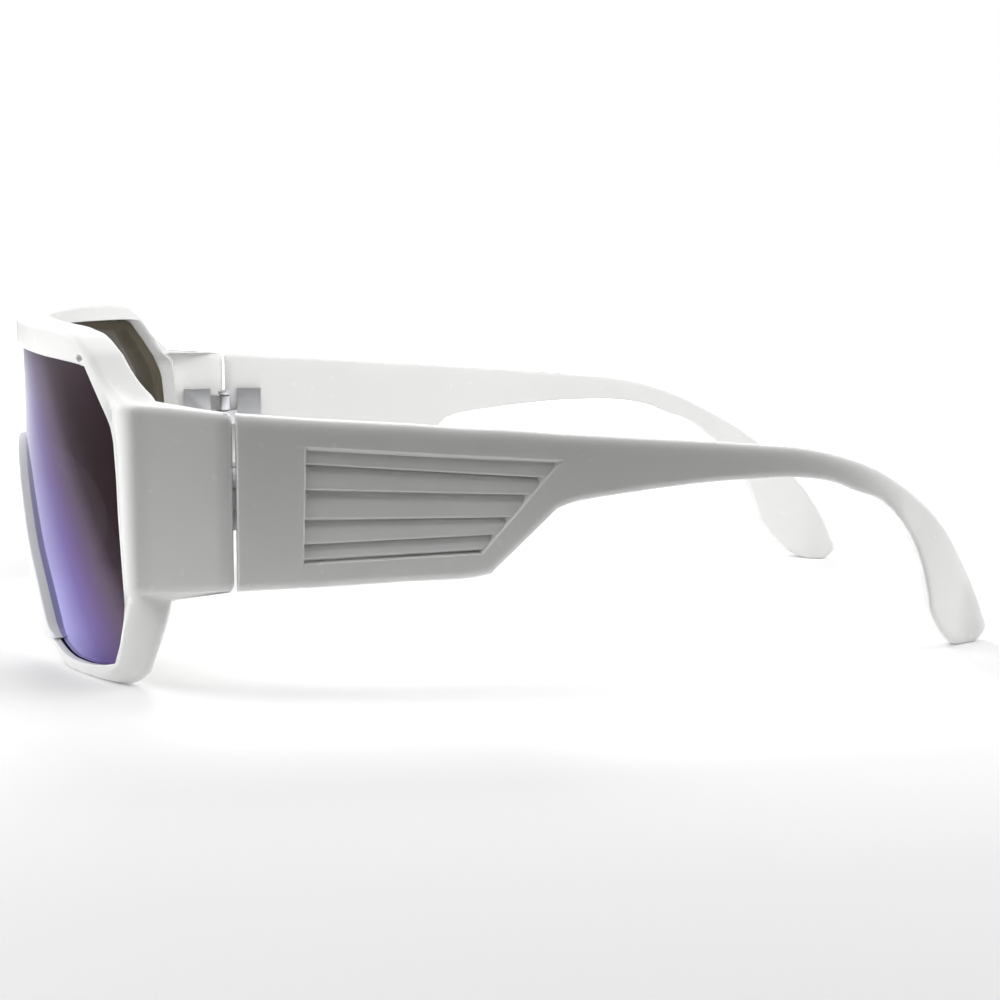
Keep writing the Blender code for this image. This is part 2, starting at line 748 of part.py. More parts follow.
def panel_cutter(side, sign, finish, parent):
    """The panel's outline, with walls that slope in towards its floor."""
    rings = []
    for depth in (-1, 2):
        ring = []
        for along, height, inward_y, inward_z in PANEL_SHARES:
            y = along * TEMPLE_LENGTH + inward_y * depth * LOUVRE_DEPTH
            z = height * TEMPLE_HEIGHT + inward_z * depth * LOUVRE_DEPTH
            ring.append(hinge_point(sign, temple_outer_x(y) - depth * LOUVRE_DEPTH, y, z))
        rings.append(ring)
    name = f"{side}_panel_cutter"
    return mesh_object(name, skin(name, rings), finish, parent)


def prism(name, outline, bottom, top, finish, parent):
    return mesh_object(name, skin(name, [[(x, y, z) for x, y in outline] for z in (bottom, top)]), finish, parent)


def knuckle_span(index):
    """The bottom and top of the lower (-1), middle (0) or upper (1) knuckle, from the barrel's middle."""
    middle = index * (KNUCKLE_HEIGHT + CLEARANCE)
    return middle - KNUCKLE_HEIGHT / 2, middle + KNUCKLE_HEIGHT / 2


def knuckle(name, sign, plate, index, finish, parent):
    """A barrel joined to the edge of its plate, as one convex shape."""
    shape = bmesh.new()
    for height in knuckle_span(index):
        points = barrel_ring(sign, BARREL_DIAMETER / 2, height)
        points += [(sign * x, y, height) for x, y in plate]
        for point in points:
            shape.verts.new(point)
    hull = bmesh.ops.convex_hull(shape, input=shape.verts)
    spare = {item for item in hull["geom_interior"] + hull["geom_unused"] if isinstance(item, bmesh.types.BMVert)}
    bmesh.ops.delete(shape, geom=list(spare), context="VERTS")
    return mesh_object(name, finish_mesh(name, shape), finish, parent)


def leaf(name, sign, plate, indices, finish, parent):
    """A hinge leaf: its plate (near and far ends, inner and outer sides) and its knuckles, bored for the screw."""
    low = -LEAF_HEIGHT / 2
    outline = [(sign * x, y) for x, y in plate]
    made = prism(name, outline, low, low + LEAF_HEIGHT, finish, parent)
    for index in indices:
        cut(made, knuckle(f"{name}_knuckle_{index}", sign, plate[:2], index, finish, parent), "UNION")
    rings = [barrel_ring(sign, BORE_DIAMETER / 2, height) for height in (-LEAF_HEIGHT, LEAF_HEIGHT)]
    cut(made, mesh_object(f"{name}_bore", skin(f"{name}_bore", rings), finish, parent))
    return made


def arm_inner_face():
    """The inner face of the arm as its plan draws it halfway down: its hinge end and its root, as (x, y)."""
    plan = arm_plan(ARM_SHARES[len(ARM_SHARES) // 2][0] * RIM_HALF_WIDTH)[0]
    return plan[-2][:2], plan[-1][:2]


def front_leaf(side, sign, finish, parent):
    (near_x, near_y), (root_x, root_y) = arm_inner_face()
    end = root_y + LEAF_ROOT_GAP
    plate = []
    for y, depth in ((-LEAF_START, 1), (-LEAF_START, 0), (end, 0), (end, 1)):
        face = near_x + (root_x - near_x) * (y - near_y) / (root_y - near_y)
        plate.append((face - CLEARANCE - depth * LEAF_THICKNESS - HINGE_X, y))
    return leaf(f"{side}_front_leaf", sign, plate, (-1, 1), finish, parent)


def temple_leaf(side, sign, finish, parent):
    plate = []
    for y, depth in ((LEAF_START, 1), (LEAF_START, 0), (TEMPLE_LEAF_END, 0), (TEMPLE_LEAF_END, 1)):
        face = temple_outer_x(y) - temple_thickness(y)
        plate.append((face - CLEARANCE - depth * LEAF_THICKNESS - HINGE_X, y))
    return leaf(f"{side}_temple_leaf", sign, plate, (0,), finish, parent)


def hinge_screw(side, sign, finish, parent):
    """The screw that pins the three knuckles together, put in from above."""
    seat = knuckle_span(1)[1] + CLEARANCE
    crown = seat + SCREW_HEAD_HEIGHT
    name = f"{side}_hinge_screw"
    profile = (
        (knuckle_span(-1)[0], SCREW_DIAMETER),
        (seat, SCREW_DIAMETER),
        (seat, SCREW_HEAD_DIAMETER),
        (crown - SCREW_HEAD_EDGE, SCREW_HEAD_DIAMETER),
        (crown, SCREW_HEAD_DIAMETER - 2 * SCREW_HEAD_EDGE),
    )
    rings = [barrel_ring(sign, width / 2, height) for height, width in profile]
    screw = mesh_object(name, skin(name, rings), finish, parent)
    half = SCREW_SLOT_WIDTH / 2
    slot = [(-half, -OVERRUN), (half, -OVERRUN), (half, OVERRUN), (-half, OVERRUN)]
    floor = crown - SCREW_SLOT_DEPTH
    cut(screw, prism(f"{side}_slot_cutter", slot, floor, floor + OVERRUN, finish, parent))
    return screw


def build():
    clear_scene()
    white, nose, lens, metal = white_plastic(), nose_plastic(), mirrored_lens(), hinge_metal()
    hinge_line = empty("hinge_line", (0, GAP_Y, 0))
    front_frame(white, hinge_line)
    shield_lens(lens, hinge_line)
    nose_piece(nose, hinge_line)
    for side, sign in SIDES.items():
        place = (sign * HINGE_X, 0, HINGE_MIDDLE)
        fixed = empty(f"{side}_barrel", place, hinge_line)
        swing = empty(f"{side}_temple_axis", place, hinge_line)
        front_leaf(side, sign, metal, fixed)
        hinge_screw(side, sign, metal, fixed)
        temple(side, sign, white, swing)
        temple_leaf(side, sign, metal, swing)


build()
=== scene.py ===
"""Wraparound sunglasses with a mirrored shield lens, standing open on a white table.

Metres, +Z up. +Y runs from the lens to the temple tips and +X is the wearer's left.
"""

import json
import math

import bmesh
import bpy
import numpy as np
from mathutils import Matrix, Vector
from mathutils.geometry import delaunay_2d_cdt
from mathutils.kdtree import KDTree


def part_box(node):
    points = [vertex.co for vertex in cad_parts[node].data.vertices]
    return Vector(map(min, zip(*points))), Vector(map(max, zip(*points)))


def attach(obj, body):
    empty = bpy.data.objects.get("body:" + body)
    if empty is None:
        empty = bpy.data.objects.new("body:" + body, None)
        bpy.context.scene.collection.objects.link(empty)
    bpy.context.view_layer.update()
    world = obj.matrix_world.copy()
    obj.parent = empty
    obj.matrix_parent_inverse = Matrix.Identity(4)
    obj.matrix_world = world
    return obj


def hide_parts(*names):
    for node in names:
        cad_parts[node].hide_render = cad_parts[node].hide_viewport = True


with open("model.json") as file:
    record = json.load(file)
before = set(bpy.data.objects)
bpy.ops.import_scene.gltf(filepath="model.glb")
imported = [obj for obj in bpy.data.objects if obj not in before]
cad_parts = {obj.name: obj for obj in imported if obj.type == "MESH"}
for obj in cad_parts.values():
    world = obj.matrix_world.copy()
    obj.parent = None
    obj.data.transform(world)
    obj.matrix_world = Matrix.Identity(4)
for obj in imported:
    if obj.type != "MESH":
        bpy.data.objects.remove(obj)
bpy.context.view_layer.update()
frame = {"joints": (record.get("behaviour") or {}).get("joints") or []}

# The front: one white plastic moulding that holds the lens behind a thin lip all round. It runs back
# at each side into a short broad arm for the hinge. It is gated at two small dimples at the brow
# corners, and its outer face is polished like the temples.
HINGE_Y = frame["joints"][0]["pos_m"][1]
RIM_LOW, RIM_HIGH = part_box("front_frame")
FRAME_HEIGHT = RIM_HIGH.z
FRONT_REACH = HINGE_Y - RIM_LOW.y
RIM_HALF_WIDTH = 0.0650
CLEARANCE = 0.0003
FRONT_FALL = 0.02035
FLAT_SIDE_X = 0.912 * RIM_HALF_WIDTH
FLAT_SIDE_SLOPE = 0.43
RIM_DEPTH = 0.0065
RIM_WALL = 0.0008
RIM_FRONT_ROUND = 0.0012
RIM_REAR_ROUND = 0.0006
SLANT_REACH = 0.85
SLANT_FLATNESS = 0.6
LIP_ROUND = 0.0003
CATCH_THICKNESS = 0.0008
# How much of the catch behind the lens is lost where the cheek is slanted off
CATCH_SLANT_LOSS = 0.7
FINE_SPACING = 0.0008
MERGE_DISTANCE = 1e-7
SHARP_ANGLE = math.radians(50)
LIP_STEPS = 3
ROUND_STEPS = 8
WALL_STEPS = 6
# Which points of a section are eased across a joint, and how much those after them are
EASED_POINTS = slice(4, 16)
EASED_FADE = (0.6, 0.3, 0.1)
EASED_ROWS = 7
EASING_PASSES = 12

# Opening x, opening z, outline x, outline z, then depth from front to rear, and for the cheek how far
# the edge between its front and its wall is slanted off
BROW_SHARES = (
    (0.000, 0.913, 0.000, 1.000, 0.92),
    (0.200, 0.912, 0.200, 1.000, 0.92),
    (0.400, 0.908, 0.405, 0.999, 0.92),
    (0.570, 0.903, 0.577, 0.996, 0.92),
    (0.700, 0.899, 0.697, 0.987, 0.92),
    (0.764, 0.895, 0.763, 0.968, 0.92),
    (0.800, 0.890, 0.814, 0.929, 0.92),
    (0.829, 0.844, 0.849, 0.884, 0.92),
    (0.860, 0.793, 0.892, 0.838, 0.95),
    (0.876, 0.766, 0.928, 0.807, 0.98),
)
BROW_CORNERS = (6,)
CHEEK_SHARES = (
    (0.946, 0.240, 1.000, 0.268, 0.97, 0.4),
    (0.938, 0.200, 0.996, 0.205, 0.87, 0.9),
    (0.920, 0.150, 0.974, 0.135, 0.78, 1.0),
    (0.891, 0.064, 0.938, 0.043, 0.66, 1.0),
    (0.856, 0.052, 0.895, 0.008, 0.56, 0.7),
    (0.815, 0.042, 0.840, 0.000, 0.51, 0.3),
    (0.760, 0.035, 0.765, 0.000, 0.51, 0.0),
    (0.690, 0.035, 0.690, 0.000, 0.51, 0.0),
    (0.650, 0.043, 0.642, 0.008, 0.52, 0.0),
    (0.615, 0.056, 0.595, 0.037, 0.54, 0.0),
    (0.583, 0.073, 0.556, 0.052, 0.56, 0.0),
    (0.557, 0.094, 0.520, 0.066, 0.60, 0.0),
    (0.545, 0.112, 0.505, 0.088, 0.65, 0.0),
)
CHEEK_CORNERS = (3, 5, 7)
# Nose notch of the opening: x, z, depth of the rim, depth of the nose piece
NOTCH_SHARES = (
    (0.532, 0.131, 0.65, 0.60),
    (0.492, 0.188, 0.65, 0.80),
    (0.385, 0.314, 0.65, 1.00),
    (0.285, 0.440, 0.65, 0.90),
    (0.185, 0.541, 0.65, 0.64),
    (0.090, 0.588, 0.65, 0.52),
    (0.000, 0.600, 0.65, 0.50),
)
NOTCH_BAND = 0.0017
NOTCH_STEP = 0.0006
NOSE_DEPTH = 0.0110
# The arms: opening x, opening z, height down the arm, turn round its edge
ARM_SHARES = (
    (0.884, 0.751, 0.00, 0.0),
    (0.889, 0.741, 0.00, 0.5),
    (0.8945, 0.728, 0.00, 1.0),
    (0.903, 0.690, 0.18, 1.0),
    (0.917, 0.479, 0.50, 1.0),
    (0.935, 0.330, 0.80, 1.0),
    (0.942, 0.279, 1.00, 1.0),
    (0.944, 0.264, 1.00, 0.5),
    (0.945, 0.252, 1.00, 0.0),
)
ARM_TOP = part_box("left_temple")[1].z
ARM_BOTTOM = 0.382 * ARM_TOP
ARM_TOP_SLOPE = -0.087
ARM_BOTTOM_SLOPE = 0.081
ARM_CORNER_X = RIM_HALF_WIDTH + 0.0005
ARM_CORNER_RADIUS = 0.0026
FRONT_STRIP = 0.0004
ARM_END_HALF_WIDTH = ARM_CORNER_X + 0.0045
ARM_THICKNESS = 0.0040
ARM_EDGE_INSET = 0.0009
ARM_EDGE_DROP = 0.0018
ARM_ROOT_MARGIN = 0.0006
ARM_ROOT_DEPTH = 0.0022
HINGE_GAP = 0.0005
ARM_EDGE_STEPS = 4
ARM_SIDE_STEPS = 8
DIMPLE_X_SHARE = 0.783
DIMPLE_Z_SHARE = 0.912
DIMPLE_SIDES = 32
DIMPLE_HEIGHT_SHARE = 0.7
# How far behind the front each ring of the dimple lies, and its radius
DIMPLE_PROFILE = ((-0.0020, 0.0010), (-0.0002, 0.0010), (0.0002, 0.0008), (0.0009, 0.0007), (0.0012, 0.0005))
LENS_OVERLAP = 0.0018
LENS_SETBACK = 0.0011
LENS_THICKNESS = 0.0016
LENS_EXTRA_FALL = 0.0010


def curve_through(rows, spacing, corners=(), mirrored_start=False, mirrored_end=False):
    """More rows along a smooth curve through these, with its direction free to break at the corners.

    Columns 0 and 2 are x values, which change sign across the middle of the object.
    """
    rows = np.array(rows)
    even = [column for column in range(rows.shape[1]) if column not in (0, 2)]
    breaks = sorted({0, len(rows) - 1, *corners})
    found = []
    for first, last in zip(breaks, breaks[1:]):
        run = rows[first : last + 1]
        steps = np.linalg.norm(np.diff(run[:, :2], axis=0), axis=1)
        chord = np.concatenate([[0], np.cumsum(steps)])
        slope = np.gradient(run, chord, axis=0)
        if mirrored_start and first == 0:
            slope[0, even] = 0
        if mirrored_end and last == len(rows) - 1:
            slope[-1, even] = 0
        for k, step in enumerate(steps):
            parts = max(1, round(step / spacing))
            for share in np.arange(parts) / parts:
                square, cube = share**2, share**3
                found.append(
                    run[k] * (2 * cube - 3 * square + 1)
                    + run[k + 1] * (3 * square - 2 * cube)
                    + slope[k] * step * (cube - 2 * square + share)
                    + slope[k + 1] * step * (cube - square)
                )
    found.append(rows[-1])
    return np.array(found)


def scaled(rows, *sizes):
    return [[share * size for share, size in zip(row, sizes)] for row in rows]


def arc_radius(half_chord, fall):
    return (half_chord**2 + fall**2) / (2 * fall)


FRONT_RADIUS = arc_radius(FLAT_SIDE_X, FRONT_FALL)
LENS_RADIUS = arc_radius(FLAT_SIDE_X, FRONT_FALL + LENS_EXTRA_FALL)


def front_y(x):
    """The front surface, measured from the hinge gap: the lens side is negative."""
    across = min(abs(x), FLAT_SIDE_X)
    curve = FRONT_RADIUS - math.sqrt(FRONT_RADIUS**2 - across**2)
    return curve - FRONT_REACH + (abs(x) - across) * FLAT_SIDE_SLOPE


def lens_y(x, depth=0):
    """The front of the lens, or the surface at this depth behind it."""
    return LENS_RADIUS + LENS_SETBACK - FRONT_REACH - math.sqrt((LENS_RADIUS - depth) ** 2 - x**2)


def lens_rear_y(x):
    return lens_y(x, LENS_THICKNESS)


def between(start, end, parts):
    """Points from start up to, but not at, end."""
    start, end = np.array(start, float), np.array(end, float)
    return [start + (end - start) * k / parts for k in range(parts)]


def quarter_turn(parts):
    return [math.pi / 2 * k / parts for k in range(parts + 1)]


class Across:
    """A straight way across the rim, from the opening's edge to the outline."""

    def __init__(self, row):
        self.start = np.array(row[:2])
        self.width = math.dist(row[:2], row[2:4])
        self.along = (np.array(row[2:4]) - self.start) / self.width
        self.depth, self.step, self.slant = row[4:]

    def __call__(self, distance):
        return self.start + self.along * distance

    def rear(self, distance):
        return front_y(self(distance)[0]) + self.depth


def rebate_width(width):
    """From the opening's edge to the wall that the lens edge faces."""
    return min(LENS_OVERLAP + CLEARANCE, width - RIM_WALL)


def rim_section(row):
    """A section across the rim: lip, front round, outer wall, rear round, rear face and lens rebate."""
    place = Across(row)
    width = place.width
    rear_round = min(RIM_REAR_ROUND, width / 4)
    lip_round = min(LIP_ROUND, width / 4)
    wall_end = place.depth - place.step - rear_round
    round_width = round_depth = min(RIM_FRONT_ROUND, width / 2)
    round_width += (width - 2 * lip_round - round_width) * SLANT_REACH * place.slant
    round_depth += (wall_end - round_depth) * SLANT_REACH * place.slant
    power = 1 + SLANT_FLATNESS * place.slant
    flat = width - round_width
    lip = quarter_turn(LIP_STEPS)[::-1]
    points = [(lip_round * (1 - math.sin(turn)), lip_round * (1 - math.cos(turn))) for turn in lip]
    points += between((lip_round, 0), (flat, 0), WALL_STEPS)[1:]
    for turn in quarter_turn(ROUND_STEPS):
        over, down = math.sin(turn) ** power, 1 - abs(math.cos(turn)) ** power
        points.append((flat + round_width * over, round_depth * down))
    points += between((width, round_depth), (width, wall_end), WALL_STEPS)[1:]
    ring = [(distance, front_y(place(distance)[0]) + place.step + back) for distance, back in points]
    for turn in quarter_turn(LIP_STEPS):
        distance = width - rear_round * (1 - math.cos(turn))
        ring.append((distance, place.rear(width) - rear_round * (1 - math.sin(turn))))
    rebate = rebate_width(width)
    wall_x = place(rebate)[0]
    behind = lens_rear_y(wall_x) + CLEARANCE
    rear = max(place.rear(rebate), behind + CATCH_THICKNESS * (1 - CATCH_SLANT_LOSS * place.slant))
    ring += between(ring[-1], (rebate, rear), WALL_STEPS)[1:]
    ring += [
        (rebate, rear),
        (rebate, behind + (rear - behind) / 2),
        (rebate, behind),
        (rebate, lens_y(wall_x) - CLEARANCE),
        (0, lens_y(place(0)[0]) - CLEARANCE),
    ]
    return [(*place(distance), y) for distance, y in ring]


# Where the rounded corner between the front and the arm starts, and where the arm's flat side does
ARM_CORNER_START_X = ARM_CORNER_X - ARM_CORNER_RADIUS
ARM_SIDE_Y = front_y(ARM_CORNER_START_X) + ARM_CORNER_RADIUS


def arm_outer_x(y):
    share = (y - ARM_SIDE_Y) / (-HINGE_GAP / 2 - ARM_SIDE_Y)
    return ARM_CORNER_X + (ARM_END_HALF_WIDTH - ARM_CORNER_X) * share


def arm_plan(inner_x):
    """The arm seen from above, as (x, y, inward x, inward y), in the order of a rim section."""
    corner_x = inner_x + LIP_ROUND + FRONT_STRIP
    corner_y = front_y(corner_x)
    end_y = -HINGE_GAP / 2
    inner_end = ARM_END_HALF_WIDTH - ARM_THICKNESS
    wall_x = inner_x + LENS_OVERLAP + CLEARANCE
    root_y = lens_rear_y(wall_x) + CLEARANCE + ARM_ROOT_DEPTH
    root_x = max(wall_x, RIM_HALF_WIDTH - LENS_OVERLAP) + ARM_ROOT_MARGIN
    end_round = RIM_REAR_ROUND
    points = []
    for turn in quarter_turn(LIP_STEPS)[::-1]:
        x = inner_x + LIP_ROUND * (1 - math.sin(turn))
        points.append((x, front_y(x) + LIP_ROUND * (1 - math.cos(turn)), 0, 0))
    for k in range(1, WALL_STEPS):
        share = k / WALL_STEPS
        x = inner_x + LIP_ROUND + (corner_x - inner_x - LIP_ROUND) * share
        points.append((x, front_y(x), 0, share))
    for turn in quarter_turn(ROUND_STEPS):
        x = corner_x + (ARM_CORNER_X - corner_x) * math.sin(turn)
        y = ARM_SIDE_Y - (ARM_SIDE_Y - corner_y) * math.cos(turn)
        points.append((x, y, -math.sin(turn), math.cos(turn)))
    near_end = end_y - end_round
    for y in np.linspace(ARM_SIDE_Y, near_end, WALL_STEPS + 1)[1:-1]:
        points.append((arm_outer_x(y), y, -1, 0))
    for turn in quarter_turn(LIP_STEPS):
        x = arm_outer_x(near_end) - end_round * (1 - math.cos(turn))
        points.append((x, near_end + end_round * math.sin(turn), -math.cos(turn), -math.sin(turn)))
    points.append((inner_end + end_round, end_y, 1 / 2, -1))
    points.append((inner_end, near_end, 1, 0))
    for share in np.linspace(0, 1, WALL_STEPS - 1)[1:-2]:
        x = inner_end + (root_x - inner_end) * share
        points.append((x, near_end + (root_y - near_end) * share, 1 - share, 0))
    points.append((root_x, root_y, 1 / 4, 0))
    return points, wall_x, root_y


def arm_section(row):
    """A section of the rim where it runs back into the arm."""
    inner_x, inner_z, height_share, turn_share = row
    plan, wall_x, root_y = arm_plan(inner_x)
    turn = turn_share * math.pi / 2
    inset = ARM_EDGE_INSET * (1 - math.sin(turn))
    drop = ARM_EDGE_DROP * (1 - math.cos(turn))

    def height(x, y):
        top = ARM_TOP + ARM_TOP_SLOPE * y - drop
        bottom = ARM_BOTTOM + ARM_BOTTOM_SLOPE * y + drop
        outer = top + (bottom - top) * height_share
        return inner_z + (outer - inner_z) * min(1, (x - inner_x) / (ARM_CORNER_START_X - inner_x))

    ring = []
    for x, y, inward_x, inward_y in plan:
        x, y = x + inset * inward_x, y + inset * inward_y
        ring.append((x, height(x, y), y))
    pocket = (
        (wall_x, root_y),
        (wall_x, root_y - CATCH_THICKNESS / 2),
        (wall_x, lens_rear_y(wall_x) + CLEARANCE),
        (wall_x, lens_y(wall_x) - CLEARANCE),
        (inner_x, lens_y(inner_x) - CLEARANCE),
    )
    ring.extend((x, height(x, y), y) for x, y in pocket)
    return ring


def notch_rows():
    """The nose notch: places, rim depths, nose piece depths, and the way from the opening to the nose."""
    sizes = (RIM_HALF_WIDTH, FRAME_HEIGHT, RIM_DEPTH, NOSE_DEPTH)
    x, z, depth, nose = np.array(scaled(NOTCH_SHARES, *sizes)).T
    rows = np.array([x, z, np.zeros_like(x), depth, nose]).T
    rows = curve_through(rows, FINE_SPACING, mirrored_end=True)
    ways = []
    for k in range(len(rows)):
        one, other = rows[max(k - 1, 0), :2], rows[min(k + 1, len(rows) - 1), :2]
        if k == len(rows) - 1:
            other = one * (-1, 1)
        step = (other - one) / math.dist(one, other)
        ways.append((-step[1], step[0]))
    return rows[:, :2], rows[:, 3], rows[:, 4], np.array(ways)


def half_rim_rows():
    """The rows of the rim's left half in three runs: brow, arm and the way round the cheek to the nose."""
    sizes = (RIM_HALF_WIDTH, FRAME_HEIGHT, RIM_HALF_WIDTH, FRAME_HEIGHT, RIM_DEPTH)
    brow = curve_through(scaled(BROW_SHARES, *sizes), FINE_SPACING, BROW_CORNERS, mirrored_start=True)
    cheek = curve_through(scaled(CHEEK_SHARES, *sizes, 1), FINE_SPACING, CHEEK_CORNERS)
    places, depths, _, ways = notch_rows()
    brow = [(*row, 0, 0) for row in brow]
    cheek = [(*row[:5], 0, row[5]) for row in cheek]
    notch = []
    for place, depth, way in zip(places, depths, ways):
        notch.append((*place, *(place + way * NOTCH_BAND), depth, NOTCH_STEP, 0))
    arm = []
    for one, other in zip(ARM_SHARES, ARM_SHARES[1:]):
        arm += between(one, other, ARM_EDGE_STEPS if one[3] != other[3] else ARM_SIDE_STEPS)
    arm.append(np.array(ARM_SHARES[-1]))
    arm = [(x * RIM_HALF_WIDTH, z * FRAME_HEIGHT, height, turn) for x, z, height, turn in arm]
    return brow, arm, cheek + notch


def lofted(name, rings, closed=False):
    """A mesh over rings of points, each joined to the next, and capped unless the last meets the first."""
    rings = np.array(rings)
    count, around = rings.shape[:2]
    faces = []
    for k in range(count if closed else count - 1):
        near, far = k * around, (k + 1) % count * around
        for j in range(around):
            following = (j + 1) % around
            faces.append((near + j, near + following, far + following, far + j))
    if not closed:
        faces.append(tuple(range(around)))
        faces.append(tuple(range((count - 1) * around, count * around)))
    mesh = bpy.data.meshes.new(name)
    mesh.from_pydata(rings.reshape(-1, 3).tolist(), [], faces)
    shape = bmesh.new()
    shape.from_mesh(mesh)
    bmesh.ops.remove_doubles(shape, verts=shape.verts, dist=MERGE_DISTANCE)
    bmesh.ops.recalc_face_normals(shape, faces=shape.faces)
    shape.to_mesh(mesh)
    shape.free()
    return mesh


def eased(rings, joints):
    """The rings with their front and its rounded edge drawn smoothly across these joints."""
    rings = np.array(rings)
    weights = np.zeros(rings.shape[1])
    weights[EASED_POINTS] = 1
    weights[EASED_POINTS.stop : EASED_POINTS.stop + len(EASED_FADE)] = EASED_FADE
    for _ in range(EASING_PASSES):
        smooth = (rings[:-2] + rings[2:]) / 4 + rings[1:-1] / 2 - rings[1:-1]
        for joint in joints:
            for k in range(joint - EASED_ROWS, joint + EASED_ROWS):
                fade = min(1, (EASED_ROWS - abs(k + 0.5 - joint)) / 2)
                rings[k] += smooth[k - 1] * weights[:, None] * fade
    return rings


def placed(name, data):
    """A new object in the scene for this mesh, lamp or camera."""
    made = bpy.data.objects.new(name, data)
    bpy.context.scene.collection.objects.link(made)
    return made


def plain_mesh(holder, *tools):
    """The mesh that an object's modifiers make. The object and what it was worked with are removed."""
    result = bpy.data.meshes.new_from_object(holder.evaluated_get(bpy.context.evaluated_depsgraph_get()))
    for used in (holder, *tools):
        bpy.data.objects.remove(used)
    return result


def piece_of(name, mesh, finish, body, slot, *nodes, sharp_angle=SHARP_ANGLE):
    """The finished piece: its finish, its shading, the body that it rides on and what it stands for."""
    mesh.shade_smooth()
    mesh.set_sharp_from_angle(angle=sharp_angle)
    mesh.materials.append(finish)
    made = placed(name, mesh)
    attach(made, body)
    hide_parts(*nodes)
    return made


def dimpled(mesh):
    """The mesh with a dished dimple sunk at both brow corners, where the moulding was gated."""
    holder = placed("undimpled", mesh)
    tools = []
    for sign in (-1, 1):
        x = sign * DIMPLE_X_SHARE * RIM_HALF_WIDTH
        y = front_y(x) + HINGE_Y
        rings = []
        for back, radius in DIMPLE_PROFILE:
            ring = []
            for k in range(DIMPLE_SIDES):
                turn = math.tau * k / DIMPLE_SIDES
                z = DIMPLE_Z_SHARE * FRAME_HEIGHT + radius * DIMPLE_HEIGHT_SHARE * math.sin(turn)
                ring.append((x + radius * math.cos(turn), y + back, z))
            rings.append(ring)
        tools.append(placed("dimple_tool", lofted("dimple_tool", rings)))
        work = holder.modifiers.new("dimple", "BOOLEAN")
        work.operation, work.solver, work.object = "DIFFERENCE", "EXACT", tools[-1]
    return plain_mesh(holder, *tools)


def feed(tree, sockets, values):
    """Sets sockets, by name or number, or joins them to the outputs given for them."""
    for name, value in values.items():
        if isinstance(value, bpy.types.NodeSocket):
            tree.links.new(value, sockets[name])
        else:
            sockets[name].default_value = value


def node(tree, kind, values=None, **settings):
    """A node of this kind, with its settings made before its inputs are fed."""
    made = tree.nodes.new(kind)
    for name, value in settings.items():
        setattr(made, name, value)
    feed(tree, made.inputs, values or {})
    return made


def math_of(tree, operation, *values):
    """What a math node of this kind gives for these sockets or numbers."""
    return node(tree, "ShaderNodeMath", dict(enumerate(values)), operation=operation).outputs[0]


def mixed(tree, share, first, second):
    """The mix of two colours."""
    values = {"Factor": share, "A": first, "B": second}
    return node(tree, "ShaderNodeMix", values, data_type="RGBA").outputs["Result"]


def noise(tree, place, scale):
    """A noise pattern of this scale at this place."""
    return node(tree, "ShaderNodeTexNoise", {"Vector": place, "Scale": scale}).outputs["Fac"]


def node_group(name, kind, takes, gives):
    """A new node group with named sockets: its tree, what it is given and where its results go."""
    tree = bpy.data.node_groups.new(name, kind)
    for way, sockets in (("INPUT", takes), ("OUTPUT", gives)):
        for label, sort in sockets.items():
            tree.interface.new_socket(label, in_out=way, socket_type="NodeSocket" + sort)
    return tree, tree.nodes.new("NodeGroupInput").outputs, tree.nodes.new("NodeGroupOutput").inputs


def new_material(name):
    """A new material, its tree and the sockets of its shader."""
    made = bpy.data.materials.new(name)
    made.use_nodes = True
    return made, made.node_tree, made.node_tree.nodes["Principled BSDF"].inputs


def moulded_surface():
    """The faint clouding, the uneven gloss and the fine waviness of a moulded surface."""
    tree, given, result = node_group(
        "moulded_surface",
        "ShaderNodeTree",
        {"Light": "Color", "Shade": "Color", "Gloss": "Float", "Grain": "Float"},
        {"Color": "Color", "Roughness": "Float", "Height": "Float"},
    )
    place = node(tree, "ShaderNodeTexCoord").outputs["Object"]
    cloud = noise(tree, place, CLOUDING)
    grain = noise(tree, place, given["Grain"])
    tint = mixed(tree, cloud, given["Light"], given["Shade"])
    rough = math_of(tree, "MULTIPLY_ADD", grain, GLOSS_SWING, given["Gloss"])
    feed(tree, result, {"Color": tint, "Roughness": rough, "Height": grain})
    return tree


def moulded_plastic(name, light, shade, gloss, grain, relief):
    """A plastic of two close tints, with this roughness at least, grain for each metre and relief."""
    made, tree, shader = new_material(name)
    values = {"Light": light, "Shade": shade, "Gloss": gloss, "Grain": grain}
    surface = node(tree, "ShaderNodeGroup", values, node_tree=MOULDED_SURFACE).outputs
    bump = {"Height": surface["Height"], "Strength": GRAIN_STRENGTH, "Distance": relief}
    values = {
        "Base Color": surface["Color"],
        "Roughness": surface["Roughness"],
        "Normal": node(tree, "ShaderNodeBump", bump).outputs["Normal"],
    }
    feed(tree, shader, values)
    return made


# How fine the clouding is, how much the gloss varies and how strongly the grain shows
CLOUDING = 55
GLOSS_SWING = 0.12
GRAIN_STRENGTH = 0.2
MOULDED_SURFACE = moulded_surface()
WHITE_PLASTIC = moulded_plastic(
    name="gloss_white_plastic",
    light=(0.815, 0.815, 0.805, 1),
    shade=(0.785, 0.785, 0.775, 1),
    gloss=0.19,
    grain=420,
    relief=0.000003,
)

brow, arm, lower = half_rim_rows()
half = [rim_section(row) for row in brow] + [arm_section(row) for row in arm]
half += [rim_section(row) for row in lower]
half = eased(half, (len(brow), len(brow) + len(arm)))[:, :, [0, 2, 1]] + (0, HINGE_Y, 0)
whole = np.concatenate([half, half[-2:0:-1] * (-1, 1, 1)])
front_mesh = dimpled(lofted("front_moulding", whole, True))
piece_of("front_moulding", front_mesh, WHITE_PLASTIC, "front", "white_plastic", "front_frame")

